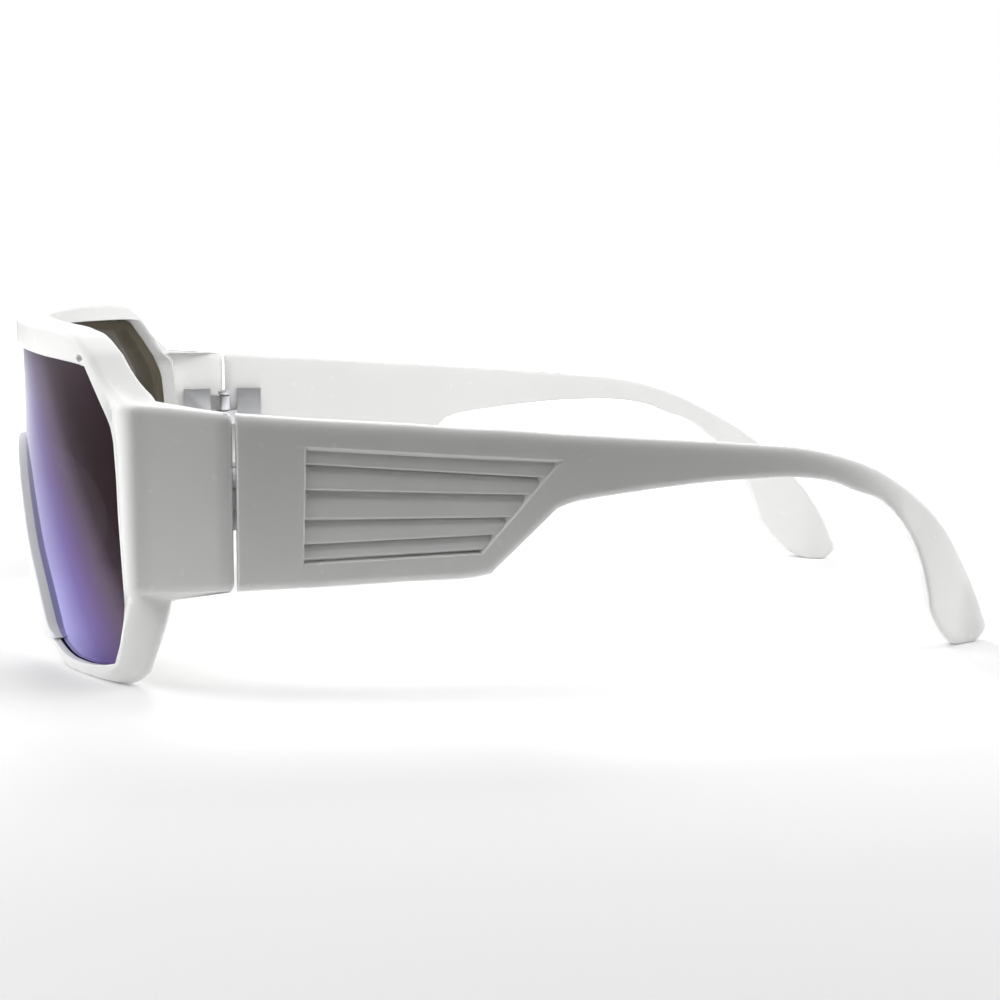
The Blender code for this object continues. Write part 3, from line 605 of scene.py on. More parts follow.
# The lens: one sheet bent to a cylinder, smoke brown, with a mirror coating on its front. It is pressed
# into the rebate from behind.
LENS_COLUMNS = 120
LENS_LEVELS = 70
LENS_LEAST_HEIGHT = 0.00001


def lens_edge_rows():
    """The lens edge from the top middle round the side to the bottom middle, as (x, z)."""
    found = []
    for row in brow + lower:
        place = Across(row)
        if row is lower[0]:
            found += [(x + LENS_OVERLAP, z) for x, z, _, _ in arm]
        found.append(tuple(place(rebate_width(place.width) - CLEARANCE)))
    return np.array(found)


def lens_mesh(name):
    """Columns from the lower to the upper edge, front and rear, closed round the edge."""
    edge = lens_edge_rows()
    held = KDTree(len(edge))
    for k, (x, z) in enumerate(edge):
        held.insert((x, 0, z), k)
    held.balance()
    far = int(np.argmax(edge[:, 0]))
    upper, under = edge[: far + 1], edge[far:][::-1]
    reach = edge[far, 0]
    rings = []
    for k in range(-LENS_COLUMNS, LENS_COLUMNS + 1):
        x = reach * math.sin(k / LENS_COLUMNS * math.pi / 2)
        top = float(np.interp(abs(x), upper[:, 0], upper[:, 1]))
        bottom = min(float(np.interp(abs(x), under[:, 0], under[:, 1])), top - LENS_LEAST_HEIGHT)
        levels = np.linspace(bottom, top, LENS_LEVELS)
        ring = [(x, lens_y(x) + HINGE_Y, z) for z in levels]
        ring += [(x, lens_rear_y(x) + HINGE_Y, z) for z in levels[::-1]]
        rings.append(ring)
    mesh = lofted(name, rings)
    inwards = mesh.attributes.new("edge_reach", "FLOAT", "POINT")
    for vertex in mesh.vertices:
        x, _, z = vertex.co
        inwards.data[vertex.index].value = held.find((abs(x), 0, z))[2] / LENS_OVERLAP
    return mesh


# Mirror colour by how steeply the coating is seen: 0 straight on, 1 along the surface
MIRROR_STOPS = (
    (0.42, (0.024, 0.014, 0.016)),
    (0.48, (0.040, 0.026, 0.034)),
    (0.54, (0.115, 0.085, 0.130)),
    (0.60, (0.145, 0.100, 0.235)),
    (0.66, (0.190, 0.140, 0.380)),
    (0.72, (0.290, 0.260, 0.570)),
    (0.78, (0.440, 0.420, 0.800)),
    (0.86, (0.460, 0.440, 0.900)),
    (0.95, (0.490, 0.470, 0.920)),
)
MIRROR_EDGE_TINT = (0.68, 0.66, 0.70, 1)
MIRROR_ROUGHNESS = 0.04
# The mirror is made stronger towards the lower edge, a painted reflection of the bright table below: its
# change for each metre of height, and where it is nil
PAINTED_REFLECTION_FALL = 7.5
PAINTED_REFLECTION_NIL_Z = 0.024
# How much the coating hides, seen from its front and from behind, and its colour from behind
COATING_ALPHAS = (0.95, 0.86)
COATING_BACK = (0.020, 0.013, 0.005, 1)
SHEET_BROWN = (0.055, 0.042, 0.022, 1)
SHEET_ROUGHNESS = 0.05
# The sheet is opaque near its held edge, a painted shade where the lip behind it keeps the light out. It
# clears between these distances from that edge, counted in overlaps, down to this alpha
SHEET_CLEARS = (0.8, 1.5)
SHEET_ALPHA = 0.7
# Faces that look at least this much forwards are coated
COATED_LEAN = -0.3


def ranged(tree, value, start, end, way="SMOOTHSTEP"):
    """The value moved from one range to another."""
    limits = dict(zip(("From Min", "From Max", "To Min", "To Max"), (*start, *end)))
    made = node(tree, "ShaderNodeMapRange", {"Value": value, **limits}, interpolation_type=way)
    return made.outputs["Result"]


def mirror_coating():
    made, tree, shader = new_material("mirror_coating")
    behind = node(tree, "ShaderNodeNewGeometry").outputs["Backfacing"]
    facing = node(tree, "ShaderNodeLayerWeight", {"Blend": 0.5}).outputs["Facing"]
    place = node(tree, "ShaderNodeTexCoord").outputs["Object"]
    height = node(tree, "ShaderNodeSeparateXYZ", {0: place}).outputs["Z"]
    # Painted reflection: the mirror colour grows brighter towards the lower edge, for the bright table below
    fall = math_of(tree, "MULTIPLY_ADD", height, -PAINTED_REFLECTION_FALL, PAINTED_REFLECTION_FALL * PAINTED_REFLECTION_NIL_Z)
    ramp = node(tree, "ShaderNodeValToRGB", {"Fac": math_of(tree, "ADD", facing, fall)})
    for position, _ in MIRROR_STOPS[1:-1]:
        ramp.color_ramp.elements.new(position)
    for element, (position, colour) in zip(ramp.color_ramp.elements, MIRROR_STOPS):
        element.position = position
        element.color = (*colour, 1)
    values = {
        "Metallic": 1.0,
        "Specular Tint": MIRROR_EDGE_TINT,
        "Roughness": MIRROR_ROUGHNESS,
        "Alpha": ranged(tree, behind, (0, 1), COATING_ALPHAS, "LINEAR"),
        "Base Color": mixed(tree, behind, ramp.outputs["Color"], COATING_BACK),
    }
    feed(tree, shader, values)
    return made


def smoke_brown():
    made, tree, shader = new_material("smoke_brown")
    inwards = node(tree, "ShaderNodeAttribute", attribute_name="edge_reach").outputs["Fac"]
    # Painted shade: the sheet is opaque and dark near its held edge, where the lip behind it keeps the light
    # out
    clear = ranged(tree, inwards, SHEET_CLEARS, (1.0, SHEET_ALPHA))
    feed(tree, shader, {"Base Color": SHEET_BROWN, "Roughness": SHEET_ROUGHNESS, "Alpha": clear})
    return made


MIRROR_COATING = mirror_coating()
SMOKE_BROWN = smoke_brown()
sheet = lens_mesh("shield_sheet")
lens = piece_of("shield_sheet", sheet, MIRROR_COATING, "front", "mirrored_lens", "shield_lens")
lens.data.materials.append(SMOKE_BROWN)
for face in lens.data.polygons:
    face.material_index = 0 if face.normal.y < COATED_LEAN else 1

# The nose piece: a saddle of softer white plastic clipped into the nose notch, with a bead in front
# and two pads that flare behind.
BEAD_PROUD = 0.0004
SKIRT_REACH = 0.0005
SKIRT_SINK = 0.0001
BEAD_ROUND = 0.0003
BEAD_STEPS = 4
NOSE_WALL = 0.0009
PAD_FLARE = 0.0014
PAD_TIP_STEPS = 6
NOSE_TAIL_ROWS = 7


def nose_section(place, way, depth, rim_depth):
    """A section of the nose piece, from its skirt before the lens over the bead to the pad."""
    inner = -SKIRT_REACH
    skirt = lens_y(place[0]) - front_y(place[0]) + SKIRT_SINK
    under = NOTCH_STEP - CLEARANCE
    web = NOTCH_BAND + CLEARANCE
    outer = web + NOSE_WALL
    bend = rim_depth + CLEARANCE
    rear = max(depth, bend + BEAD_ROUND)
    flare = PAD_FLARE * (rear - bend) / (NOSE_DEPTH - bend)
    points = [(-SKIRT_SINK, skirt), (inner, skirt)]
    for turn in quarter_turn(BEAD_STEPS):
        distance = inner + BEAD_ROUND * (1 - math.cos(turn))
        points.append((distance, BEAD_ROUND * (1 - math.sin(turn)) - BEAD_PROUD))
    for turn in quarter_turn(BEAD_STEPS):
        distance = outer - BEAD_ROUND * (1 - math.sin(turn))
        points.append((distance, BEAD_ROUND * (1 - math.cos(turn)) - BEAD_PROUD))
    points.append((outer, bend))
    half_wall = NOSE_WALL / 2
    for k in range(PAD_TIP_STEPS + 1):
        turn = math.pi * k / PAD_TIP_STEPS
        distance = outer - flare - half_wall + half_wall * math.cos(turn)
        points.append((distance, rear - half_wall + half_wall * math.sin(turn)))
    points.append((web, bend))
    points.append((web, under))
    points.append((-SKIRT_SINK, under))
    ring = []
    for distance, back in points:
        x, z = place + way * distance
        ring.append((x, front_y(x) + back + HINGE_Y, z))
    return ring


def nose_tail():
    """The tapered end of the bead that runs on down the rim's edge, from its tip."""
    rows = [row for row in lower if row[5] == 0][-NOSE_TAIL_ROWS:]
    found = []
    for k, row in enumerate(rows):
        place = Across(row)
        share = math.sin((k + 0.5) / NOSE_TAIL_ROWS * math.pi / 2)
        start = np.insert(place(-SKIRT_REACH), 1, 0)
        ring = np.array(nose_section(place.start, place.along, 0, place.depth))
        ring = start + (ring - start) * (share, 1, share)
        ring[:, 1] += BEAD_PROUD * 2 * (1 - share)
        found.append(ring)
    return found


NOSE_PLASTIC = moulded_plastic(
    name="satin_white_plastic",
    light=(0.80, 0.81, 0.82, 1),
    shade=(0.76, 0.77, 0.78, 1),
    gloss=0.34,
    grain=1500,
    relief=0.000008,
)

places, rim_depths, depths, ways = notch_rows()
half = [nose_section(*values) for values in zip(places, ways, depths, rim_depths)]
half = np.array([*nose_tail(), *half])
whole = np.concatenate([half, half[-2::-1] * (-1, 1, 1)])
saddle = lofted("nose_saddle", whole)
piece_of("nose_saddle", saddle, NOSE_PLASTIC, "front", "nose_plastic", "nose_piece")

# The temples: two white mouldings, broad at the hinge and cut in below to a thin arm that drops and
# turns in behind the ear.
TEMPLE_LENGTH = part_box("left_temple")[1].y - HINGE_Y
TEMPLE_HEIGHT = ARM_TOP
TEMPLE_SHARES = (
    (0.000, 1.000, 0.000, 0.382),
    (0.079, 0.983, 0.086, 0.393),
    (0.193, 0.964, 0.190, 0.410),
    (0.286, 0.946, 0.284, 0.427),
    (0.304, 0.944, 0.296, 0.436),
    (0.341, 0.936, 0.335, 0.550),
    (0.379, 0.927, 0.374, 0.665),
    (0.400, 0.923, 0.389, 0.682),
    (0.464, 0.910, 0.461, 0.717),
    (0.543, 0.895, 0.546, 0.745),
    (0.621, 0.876, 0.607, 0.755),
    (0.671, 0.861, 0.660, 0.757),
    (0.725, 0.826, 0.714, 0.736),
    (0.775, 0.773, 0.750, 0.695),
    (0.821, 0.700, 0.790, 0.650),
    (0.864, 0.618, 0.826, 0.560),
    (0.904, 0.519, 0.852, 0.470),
    (0.941, 0.393, 0.872, 0.365),
    (0.971, 0.258, 0.886, 0.250),
    (0.993, 0.120, 0.900, 0.135),
    (1.000, 0.052, 0.923, 0.052),
    (0.993, 0.021, 0.940, 0.014),
    (0.982, 0.000, 0.958, 0.000),
)
TEMPLE_CORNERS = (4, 6)
# How far out the outer face lies, and how thick the arm is, along its length
TEMPLE_BOW_SHARES = (
    (0.000, 0.9655), (0.186, 0.986), (0.379, 1.000), (0.543, 0.993), (0.621, 0.982),
    (0.671, 0.968), (0.714, 0.952), (0.771, 0.917), (0.821, 0.862), (0.857, 0.800),
    (0.893, 0.745), (0.929, 0.690), (0.971, 0.632), (1.000, 0.614),
)
HALF_WIDTH = ARM_END_HALF_WIDTH / TEMPLE_BOW_SHARES[0][1]
TEMPLE_THICKNESS_SHARES = (
    (0.00, 1.00), (0.38, 0.95), (0.50, 0.80), (0.80, 0.80), (0.92, 1.00),
    (1.00, 0.95),
)
BOW_SPACING_SHARE = 0.01
OUTLINE_SPACING = 0.0007
FACE_SPACING = 0.0016
# The points in a flat face keep this share of its spacing apart. It is filled in millimetres.
LEAST_ROOM = 0.6
MILLIMETRES = 1000
FILL_TOLERANCE = 1e-6
SIDE_TOLERANCE = 1e-12
EDGE_STEPS = 8
FOOT_STEPS = 5
HINGE_END_STEPS = 24
# Over how many steps either way the outline's corners are turned
CORNER_REACH = 3
TOP_EDGE_WIDTH = 0.0024
LOWER_EDGE_WIDTH = 0.0016
HINGE_END_WIDTH = 0.0005
OUTER_EDGE_DROP = 0.0009
INNER_EDGE_WIDTH = 0.0009
INNER_EDGE_DROP = 0.0007
# The louvred panel: its corners seen from the side, and how high each louvre line lies at both ends
PANEL_SHARES = ((0.080, 0.893), (0.381, 0.839), (0.286, 0.506), (0.077, 0.474))
LOUVRE_DEPTH = 0.0016
LOUVRE_FRONT_SHARE = 0.079
LOUVRE_REAR_SHARE = 0.357
LOUVRE_LINE_SHARES = (
    (0.893, 0.843), (0.826, 0.773), (0.736, 0.712), (0.631, 0.635), (0.545, 0.582),
    (0.474, 0.517),
)
# Place down a slat, and how deep it lies there
SLAT_SHARES = (
    (0.00, 1.00), (0.05, 1.00), (0.10, 0.84), (0.18, 0.58), (0.28, 0.40),
    (0.42, 0.30), (0.80, 0.25), (0.92, 0.27), (0.985, 0.40),
)
# The last slat turns back in to a groove before the lower wall: place down it, and the place whose depth
# it has there
LAST_SLAT_TURNS = ((0.0, 0.60, 0.82, 1.0), (0.0, 0.60, 0.10, 0.06))
SLAT_ROW_SHARES = (
    0.00, 0.03, 0.06, 0.10, 0.15, 0.20, 0.26, 0.33, 0.42, 0.52,
    0.60, 0.67, 0.73, 0.79, 0.84, 0.88, 0.91, 0.94, 0.97,
)
PANEL_WALLS = {"top": 0.0013, "rear": 0.0014, "bottom": 0.0007, "front": 0.0004}
# Points along the panel in its front wall, between the walls and in its rear wall, and the walls' curve
PANEL_COLUMNS = (4, 48, 13)
WALL_POWER = 1.5


def temple_outer_x(y):
    return float(np.interp(y, BOW[:, 0], BOW[:, 1]))


def temple_thickness(y):
    along, share = np.array(TEMPLE_THICKNESS_SHARES).T
    return float(np.interp(y / TEMPLE_LENGTH, along, share)) * ARM_THICKNESS


def temple_outline():
    """The arm seen from the side, anticlockwise from its lower hinge corner, and its edge's widths."""
    sizes = (TEMPLE_LENGTH, TEMPLE_HEIGHT, TEMPLE_LENGTH, TEMPLE_HEIGHT)
    rows = curve_through(scaled(TEMPLE_SHARES, *sizes), OUTLINE_SPACING, TEMPLE_CORNERS)
    rows[0, [0, 2]] = HINGE_GAP / 2
    under, over = rows[:, 2:], rows[::-1, :2]
    foot = np.array(between(under[-1], over[0], FOOT_STEPS)[1:])
    hinge_end = np.array(between(over[-1], under[0], HINGE_END_STEPS)[1:])
    places = np.concatenate([under, foot, over, hinge_end])
    widths = [LOWER_EDGE_WIDTH] * len(under) + [LOWER_EDGE_WIDTH] * len(foot)
    widths += [TOP_EDGE_WIDTH] * len(over) + [HINGE_END_WIDTH] * len(hinge_end)
    return places, np.array(widths), len(hinge_end)


def inward_ways(places):
    """The way in from each point of the outline, turned gently round the corners."""
    steps = np.roll(places, -1, axis=0) - places
    steps /= np.linalg.norm(steps, axis=1)[:, None]
    ways = np.zeros_like(places)
    for shift in range(-CORNER_REACH, CORNER_REACH):
        ways += np.roll(steps, -shift, axis=0)
    ways /= np.linalg.norm(ways, axis=1)[:, None]
    return np.stack([-ways[:, 1], ways[:, 0]], axis=1)


def edge_loops(width_share, drop, steps):
    """Loops round the arm, from its side wall in over the rounded edge: places and how far each is sunk."""
    loops = []
    for turn in np.linspace(0, math.pi / 2, steps + 1):
        reach = (1 - math.cos(turn)) * width_share
        loop = OUTLINE + WAYS * (OUTLINE_WIDTHS * reach)[:, None]
        end = len(OUTLINE) - HINGE_END_POINTS
        start_y = OUTLINE[0, 0] + HINGE_END_WIDTH * reach
        low = (start_y, OUTLINE[0, 1] + LOWER_EDGE_WIDTH * reach)
        high = (start_y, OUTLINE[end - 1, 1] - TOP_EDGE_WIDTH * reach)
        loop[0], loop[end - 1] = low, high
        loop[end:] = between(high, low, HINGE_END_POINTS + 1)[1:]
        loops.append((loop, drop * (1 - math.sin(turn))))
    return loops


def filled(loop, spacing, hole=()):
    """Triangles that fill a loop seen from the side, around a hole: their places, loop first, and faces."""
    points = [Vector(point) * MILLIMETRES for point in (*loop, *hole)]
    outer, inner = list(range(len(loop))), list(range(len(loop), len(points)))
    low, high = loop.min(axis=0) + spacing / 3, loop.max(axis=0)
    tree = KDTree(len(points))
    for index, point in enumerate(points):
        tree.insert(point.to_3d(), index)
    tree.balance()
    for y in np.arange(low[0], high[0], spacing):
        for z in np.arange(low[1], high[1], spacing):
            spot = Vector((y, z)) * MILLIMETRES
            if tree.find(spot.to_3d())[2] > spacing * MILLIMETRES * LEAST_ROOM:
                points.append(spot)
    rims = [(one, other) for ring in (outer, inner) for one, other in zip(ring, ring[1:] + ring[:1])]
    spots, _, faces, sources, _, _ = delaunay_2d_cdt(points, rims, [outer], 1, FILL_TOLERANCE)
    kept = []
    for face in faces:
        middle = sum((spots[k] for k in face), Vector((0, 0))) / 3 / MILLIMETRES
        if not len(hole) or not inside(middle, hole):
            kept.append(face)
    return np.array([spot[:] for spot in spots]) / MILLIMETRES, kept, sources


def inside(spot, ring):
    """Whether a place lies inside a ring that turns one way all round."""
    sides = []
    for one, other in zip(ring, np.roll(ring, -1, axis=0)):
        sides.append((other[0] - one[0]) * (spot[1] - one[1]) - (other[1] - one[1]) * (spot[0] - one[0]))
    return min(sides) > -SIDE_TOLERANCE or max(sides) < SIDE_TOLERANCE


def louvre_line(line, along):
    """Where a louvre line crosses the way down the panel at this share from its front end to its rear."""
    corners = np.array(PANEL_SHARES)
    top = corners[0] + (corners[1] - corners[0]) * along
    bottom = corners[3] + (corners[2] - corners[3]) * along
    front, rear = LOUVRE_LINE_SHARES[line]
    slope = (rear - front) / (LOUVRE_REAR_SHARE - LOUVRE_FRONT_SHARE)
    way = bottom - top
    down = (front + slope * (top[0] - LOUVRE_FRONT_SHARE) - top[1]) / (way[1] - slope * way[0])
    return (top + way * down) * (TEMPLE_LENGTH, TEMPLE_HEIGHT)


def panel_grid():
    """The panel's points by columns from front to rear, what its walls allow, and the slat places."""
    slats = len(LOUVRE_LINE_SHARES) - 1
    length = math.dist(louvre_line(2, 0), louvre_line(2, 1))
    front, rear = PANEL_WALLS["front"] / length, PANEL_WALLS["rear"] / length
    ends = ((0, front), (front, 1 - rear), (1 - rear, 1))
    runs = [np.linspace(*run, count) for run, count in zip(ends, PANEL_COLUMNS)]
    alongs = [*runs[0][:-1], *runs[1][:-1], *runs[2]]
    across = [slat + share for slat in range(slats) for share in SLAT_ROW_SHARES] + [slats]
    grid, ramps = [], []
    for along in alongs:
        lines = np.array([louvre_line(line, along) for line in range(slats + 1)])
        column = np.array([np.interp(across, range(slats + 1), lines[:, axis]) for axis in (0, 1)]).T
        from_top = np.linalg.norm(column - column[0], axis=1) / PANEL_WALLS["top"]
        from_bottom = np.linalg.norm(column - column[-1], axis=1) / PANEL_WALLS["bottom"]
        ramp = np.minimum(np.minimum(from_top, from_bottom), min(along / front, (1 - along) / rear))
        grid.append(column)
        ramps.append(np.clip(ramp, 0, 1) ** WALL_POWER)
    across = np.array(across)
    last = across > slats - 1
    across[last] = slats - 1 + np.interp(across[last] - slats + 1, *LAST_SLAT_TURNS)
    return np.array(grid), np.array(ramps), across


def temple_mesh(name):
    """The left arm before the slats are sunk, with each point's place among them."""
    places, sunk, across, ramps, faces = [], [], [], [], []

    def add(points, depths, slat_places=None, allowed=None):
        first = len(places)
        places.extend(map(tuple, points))
        sunk.extend(depths)
        for kept, values in ((across, slat_places), (ramps, allowed)):
            kept.extend([0.0] * len(points) if values is None else values)
        return first

    count = len(OUTLINE)
    outer = edge_loops(1, OUTER_EDGE_DROP, EDGE_STEPS)
    inner = edge_loops(INNER_EDGE_WIDTH / TOP_EDGE_WIDTH, INNER_EDGE_DROP, EDGE_STEPS // 2)
    starts = []
    for loop, drop in inner[::-1]:
        depths = [temple_thickness(y) - drop for y, _ in loop]
        starts.append(add(loop, depths))
    for loop, drop in outer:
        starts.append(add(loop, [drop] * count))
    for near, far in zip(starts, starts[1:]):
        for k in range(count):
            after = (k + 1) % count
            faces.append((near + k, near + after, far + after, far + k))

    grid, allowed, slat_places = panel_grid()
    columns, rows = grid.shape[:2]
    panel = add(grid.reshape(-1, 2), [0.0] * (columns * rows), np.tile(slat_places, columns), allowed.ravel())
    knots = (panel + np.arange(columns * rows)).reshape(columns, rows)
    quads = np.stack([knots[:-1, :-1], knots[:-1, 1:], knots[1:, 1:], knots[1:, :-1]], axis=-1)
    faces.extend(map(tuple, quads.reshape(-1, 4).tolist()))
    hole = np.concatenate([knots[0], knots[1:, -1], knots[-1, -2::-1], knots[-2:0:-1, 0]]).tolist()

    for loop, ring, holes in ((outer[-1][0], starts[-1], hole), (inner[-1][0], starts[0], [])):
        rim = [ring + k for k in range(count)]
        spots, triangles, sources = filled(loop, FACE_SPACING, np.array([places[k] for k in holes]))
        known = {}
        for index, source in enumerate(sources):
            if source and source[0] < count + len(holes):
                known[index] = (rim + holes)[source[0]]
            else:
                depth = 0.0 if holes else temple_thickness(spots[index][0])
                known[index] = add([spots[index]], [depth])
        faces.extend(tuple(known[k] for k in triangle) for triangle in triangles)

    points = [(temple_outer_x(y) - depth, y + HINGE_Y, z) for (y, z), depth in zip(places, sunk)]
    mesh = bpy.data.meshes.new(name)
    mesh.from_pydata(points, [], faces)
    for label, values in (("slat_place", across), ("wall_share", ramps)):
        mesh.attributes.new(label, "FLOAT", "POINT").data.foreach_set("value", values)
    shape = bmesh.new()
    shape.from_mesh(mesh)
    bmesh.ops.recalc_face_normals(shape, faces=shape.faces)
    shape.to_mesh(mesh)
    shape.free()
    return mesh


def louvre_relief():
    """Sinks each point by its slat's depth at its place, or by as much as the panel's walls allow there."""
    takes = {"Geometry": "Geometry", "Depth": "Float", "Material": "Material"}
    tree, given, result = node_group("louvre_relief", "GeometryNodeTree", takes, {"Geometry": "Geometry"})
    read = {}
    for label in ("slat_place", "wall_share"):
        found = node(tree, "GeometryNodeInputNamedAttribute", {"Name": label}, data_type="FLOAT")
        read[label] = found.outputs["Attribute"]
    within = math_of(tree, "FRACT", read["slat_place"])
    profile = node(tree, "ShaderNodeFloatCurve", {"Value": within})
    curve = profile.mapping.curves[0]
    curve.points[0].location = SLAT_SHARES[0]
    curve.points[1].location = SLAT_SHARES[-1]
    for point in SLAT_SHARES[1:-1]:
        curve.points.new(*point)
    profile.mapping.update()
    least = math_of(tree, "MINIMUM", profile.outputs["Value"], read["wall_share"])
    sink = {0: (-1, 0, 0), "Scale": math_of(tree, "MULTIPLY", least, given["Depth"])}
    sink = node(tree, "ShaderNodeVectorMath", sink, operation="SCALE").outputs["Vector"]
    sunk = {"Geometry": given["Geometry"], "Offset": sink}
    sunk = node(tree, "GeometryNodeSetPosition", sunk).outputs["Geometry"]
    whole = node(tree, "GeometryNodeRealizeInstances", {"Geometry": sunk}).outputs["Geometry"]
    coated = {"Geometry": whole, "Material": given["Material"]}
    coated = node(tree, "GeometryNodeSetMaterial", coated).outputs["Geometry"]
    feed(tree, result, {"Geometry": coated})
    return tree


def worked(mesh, tree, **values):
    """The plain mesh that a geometry nodes tree makes of this one, with its inputs given by name."""
    holder = placed(mesh.name, mesh)
    work = holder.modifiers.new(tree.name, "NODES")
    work.node_group = tree
    for item in tree.interface.items_tree:
        if item.in_out == "INPUT" and item.name in values:
            work[item.identifier] = values[item.name]
    return plain_mesh(holder)


BOW = curve_through(TEMPLE_BOW_SHARES, BOW_SPACING_SHARE) * (TEMPLE_LENGTH, HALF_WIDTH)
OUTLINE, OUTLINE_WIDTHS, HINGE_END_POINTS = temple_outline()
WAYS = inward_ways(OUTLINE)
sunk_slats = worked(temple_mesh("temple"), louvre_relief(), Depth=LOUVRE_DEPTH, Material=WHITE_PLASTIC)
for side, sign in (("left", 1), ("right", -1)):
    mesh = sunk_slats.copy()
    mesh.materials.clear()
    if sign < 0:
        mesh.transform(Matrix.Diagonal((-1, 1, 1, 1)))
        mesh.flip_normals()
    name = f"{side}_temple_moulding"
    mesh.name = name
    piece_of(name, mesh, WHITE_PLASTIC, f"{side}_arm", "white_plastic", f"{side}_temple")

# The hinges: on each side two stamped and plated steel leaves, set on the inner faces of the arms, with
# three knuckles between them. A slotted screw pins them from above.
PRESSED_ROUND = 0.00018
TURNED_ROUND = 0.00006
ROUND_ANGLE = math.radians(35)
ROUND_SEGMENTS = 3
SOLID_MERGE_DISTANCE = 1e-6
FLAT_ANGLE = math.radians(1)
PLATED_SHARP_ANGLE = math.radians(80)
PLATE_TINTS = ((0.76, 0.77, 0.80, 1), (0.88, 0.88, 0.90, 1))
PLATE_ROUGHNESS = (0.32, 0.52)
# The noise is drawn out along Y into fine lines. Then how fine they and the mottle are
LINES_WAY = (1, 0.12, 1)
LINES_SCALE = 6000
MOTTLE_SCALE = 500
LINES_STRENGTH = 0.15
LINES_RELIEF = 0.00002


def rounded_copy(solid, width):
    """A copy of a solid with its edges rounded, as pressing and plating leave them."""
    shape = bmesh.new()
    shape.from_mesh(bpy.data.objects[solid].data)
    bmesh.ops.remove_doubles(shape, verts=shape.verts, dist=SOLID_MERGE_DISTANCE)
    bmesh.ops.dissolve_limit(shape, angle_limit=FLAT_ANGLE, verts=shape.verts, edges=shape.edges)
    bmesh.ops.recalc_face_normals(shape, faces=shape.faces)
    mesh = bpy.data.meshes.new(solid + "_plated")
    shape.to_mesh(mesh)
    shape.free()
    holder = placed(solid + "_plated", mesh)
    work = holder.modifiers.new("rounded", "BEVEL")
    work.width, work.segments = width, ROUND_SEGMENTS
    work.limit_method, work.angle_limit = "ANGLE", ROUND_ANGLE
    return plain_mesh(holder)


def plated_steel():
    """Nickel plate, with fine lines along the stamping and a faint mottle."""
    made, tree, shader = new_material("plated_steel")
    place = node(tree, "ShaderNodeTexCoord").outputs["Object"]
    along = node(tree, "ShaderNodeMapping", {"Vector": place, "Scale": LINES_WAY}).outputs["Vector"]
    lines = noise(tree, along, LINES_SCALE)
    mottle = noise(tree, place, MOTTLE_SCALE)
    tint = node(tree, "ShaderNodeValToRGB", {"Fac": mottle})
    for element, colour in zip(tint.color_ramp.elements, PLATE_TINTS):
        element.color = colour
    bump = {"Height": lines, "Strength": LINES_STRENGTH, "Distance": LINES_RELIEF}
    values = {
        "Metallic": 1.0,
        "Base Color": tint.outputs["Color"],
        "Roughness": ranged(tree, lines, (0, 1), PLATE_ROUGHNESS, "LINEAR"),
        "Normal": node(tree, "ShaderNodeBump", bump).outputs["Normal"],
    }
    feed(tree, shader, values)
    return made


PLATED_STEEL = plated_steel()
for side in ("left", "right"):
    for part, body, width in (
        ("front_leaf", "front", PRESSED_ROUND),
        ("temple_leaf", f"{side}_arm", PRESSED_ROUND),
        ("hinge_screw", "front", TURNED_ROUND),
    ):
        solid = f"{side}_{part}"
        mesh = rounded_copy(solid, width)
        name = f"{solid}_plated"
        piece_of(name, mesh, PLATED_STEEL, body, "hinge_metal", solid, sharp_angle=PLATED_SHARP_ANGLE)

# The table and the light: a white table, softboxes over, before and behind the glasses, and a room that is
# pale on their far side and dark on the side of the viewer.
TABLE_WHITE = (0.95, 0.95, 0.95, 1)
TABLE_SEEN_WHITE = (0.88, 0.88, 0.88, 1)
TABLE_ROUGHNESS = 0.9
TABLE_NEAR_X = 0.6
TABLE_FAR = 6
# How far towards the viewer the table lights and reflects: beyond it only the viewer sees it
LIT_NEAR_X = 0.12
# How much whiter the table is seen close to the glasses and far out, and in reflections
TABLE_LIFTS = (0.10, 1.0)
TABLE_REACHES = (0.16, 0.45)
REFLECTED_LIFT = 0.10
VIEWER_WAY = (0.976, -0.158, 0.15)
ROOM_LEVEL = 0.25
# Between these leans towards the viewer the room falls from the first level to the second
ROOM_LEANS = (-0.1, 0.7)
ROOM_SIDES = (1.0, 0.1)
# Place, the spot it is aimed at, width and height, brightness
SOFTBOXES = {
    "middle_strip": ((0.060, 0.0, 0.20), (-0.07, 0.0, 0.03), (0.5, 0.10), 3.4),
    "front_softbox": ((-0.15, -0.8, 0.16), (0.0, 0.0, 0.02), (0.8, 0.6), 3.8),
    "low_softbox": ((0.35, -0.75, 0.03), (0.05, -0.05, 0.02), (0.6, 0.5), 0.9),
    "rear_softbox": ((0.18, 0.8, 0.35), (0.05, 0.05, 0.02), (0.6, 0.6), 2.8),
    "far_softbox": ((-0.60, -0.05, 0.45), (0.0, 0.0, 0.0), (0.3, 0.3), 10.0),
}


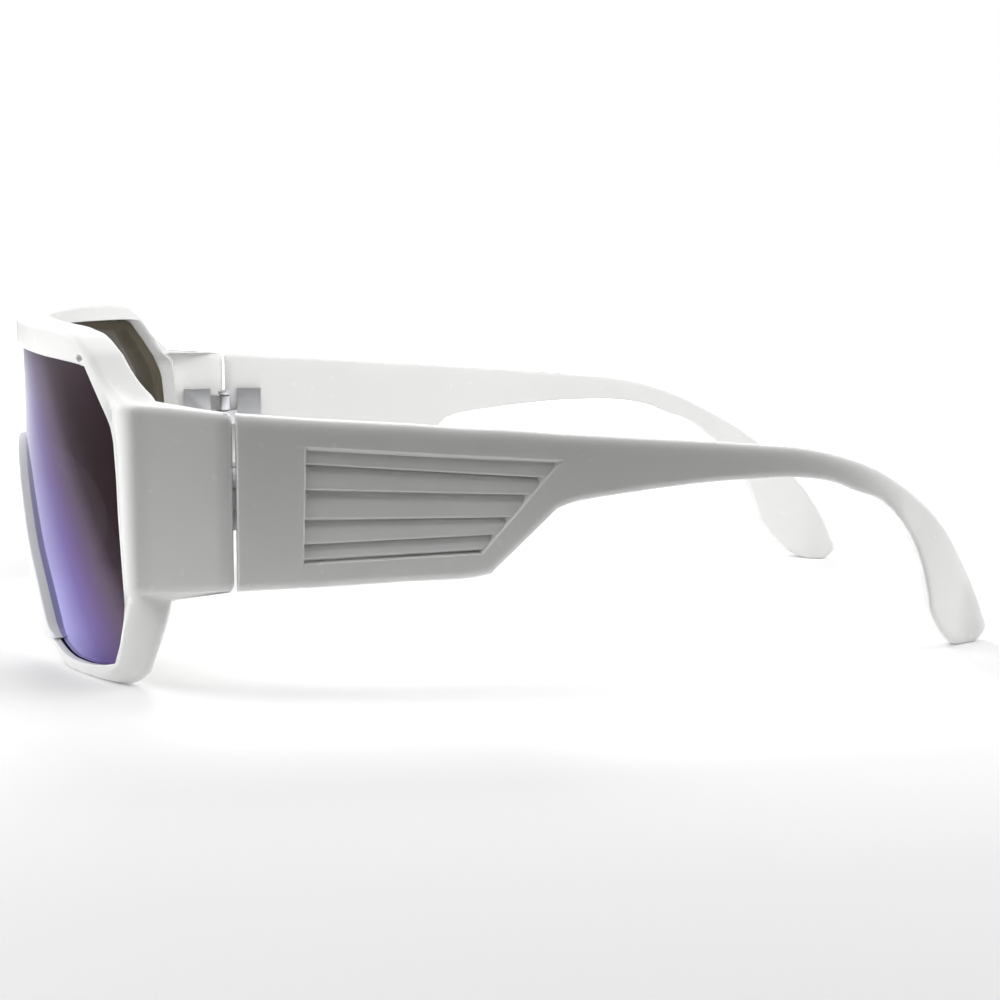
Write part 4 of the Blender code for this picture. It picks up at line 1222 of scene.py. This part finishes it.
def table_white():
    made, tree, shader = new_material("table_white")
    path = node(tree, "ShaderNodeLightPath").outputs
    seen = path["Is Camera Ray"]
    mirrored = math_of(tree, "MAXIMUM", path["Is Glossy Ray"], path["Is Transmission Ray"])
    place = node(tree, "ShaderNodeTexCoord").outputs["Object"]
    reach = node(tree, "ShaderNodeVectorMath", {0: place}, operation="LENGTH").outputs["Value"]
    fade = ranged(tree, reach, TABLE_REACHES, TABLE_LIFTS)
    lift = math_of(tree, "MULTIPLY", seen, fade)
    across = node(tree, "ShaderNodeSeparateXYZ", {0: place}).outputs["X"]
    lit = math_of(tree, "LESS_THAN", across, LIT_NEAR_X)
    values = {
        "Roughness": TABLE_ROUGHNESS,
        "Specular IOR Level": 0.0,
        "Base Color": mixed(tree, seen, TABLE_WHITE, TABLE_SEEN_WHITE),
        "Emission Color": (1, 1, 1, 1),
        "Emission Strength": math_of(tree, "MULTIPLY_ADD", mirrored, REFLECTED_LIFT, lift),
        "Alpha": math_of(tree, "MAXIMUM", lit, seen),
    }
    feed(tree, shader, values)
    return made


mesh = bpy.data.meshes.new("table")
near, far = TABLE_NEAR_X, -TABLE_FAR
corners = [(far, far, 0), (near, far, 0), (near, -far, 0), (far, -far, 0)]
mesh.from_pydata(corners, [], [(0, 1, 2, 3)])
mesh.materials.append(table_white())
table = placed("table", mesh)

for name, (place, aim, size, level) in SOFTBOXES.items():
    softbox = bpy.data.lights.new(name, "AREA")
    softbox.shape = "RECTANGLE"
    softbox.size, softbox.size_y = size
    softbox.energy = level * math.pi * size[0] * size[1]
    holder = placed(name, softbox)
    turn = (Vector(aim) - Vector(place)).to_track_quat("-Z", "Y")
    holder.matrix_world = Matrix.Translation(place) @ turn.to_matrix().to_4x4()
    holder.visible_glossy = False

world = bpy.data.worlds.new("studio")
world.use_nodes = True
bpy.context.scene.world = world
tree = world.node_tree
place = node(tree, "ShaderNodeTexCoord").outputs["Generated"]
towards = {0: place, 1: Vector(VIEWER_WAY).normalized()}
towards = node(tree, "ShaderNodeVectorMath", towards, operation="DOT_PRODUCT").outputs["Value"]
away = ranged(tree, towards, ROOM_LEANS, ROOM_SIDES)
path = node(tree, "ShaderNodeLightPath").outputs
room = math_of(tree, "MULTIPLY", math_of(tree, "MAXIMUM", path["Is Glossy Ray"], ROOM_LEVEL), away)
shown = math_of(tree, "MAXIMUM", path["Is Camera Ray"], path["Is Transmission Ray"])
values = {"Color": (1, 1, 1, 1), "Strength": math_of(tree, "MAXIMUM", room, shown)}
feed(tree, tree.nodes["Background"].inputs, values)

camera = bpy.data.cameras.new("camera")
camera.lens = 66.6
camera.sensor_width = 36
camera.clip_start = 0.01
viewer = placed("camera", camera)
viewer.location = (0.36575, -0.05485, 0.07752)
viewer.rotation_euler = [math.radians(angle) for angle in (81.4067, -0.4596, 80.8920)]
bpy.context.scene.camera = viewer
bpy.context.scene.view_settings.view_transform = "Standard"
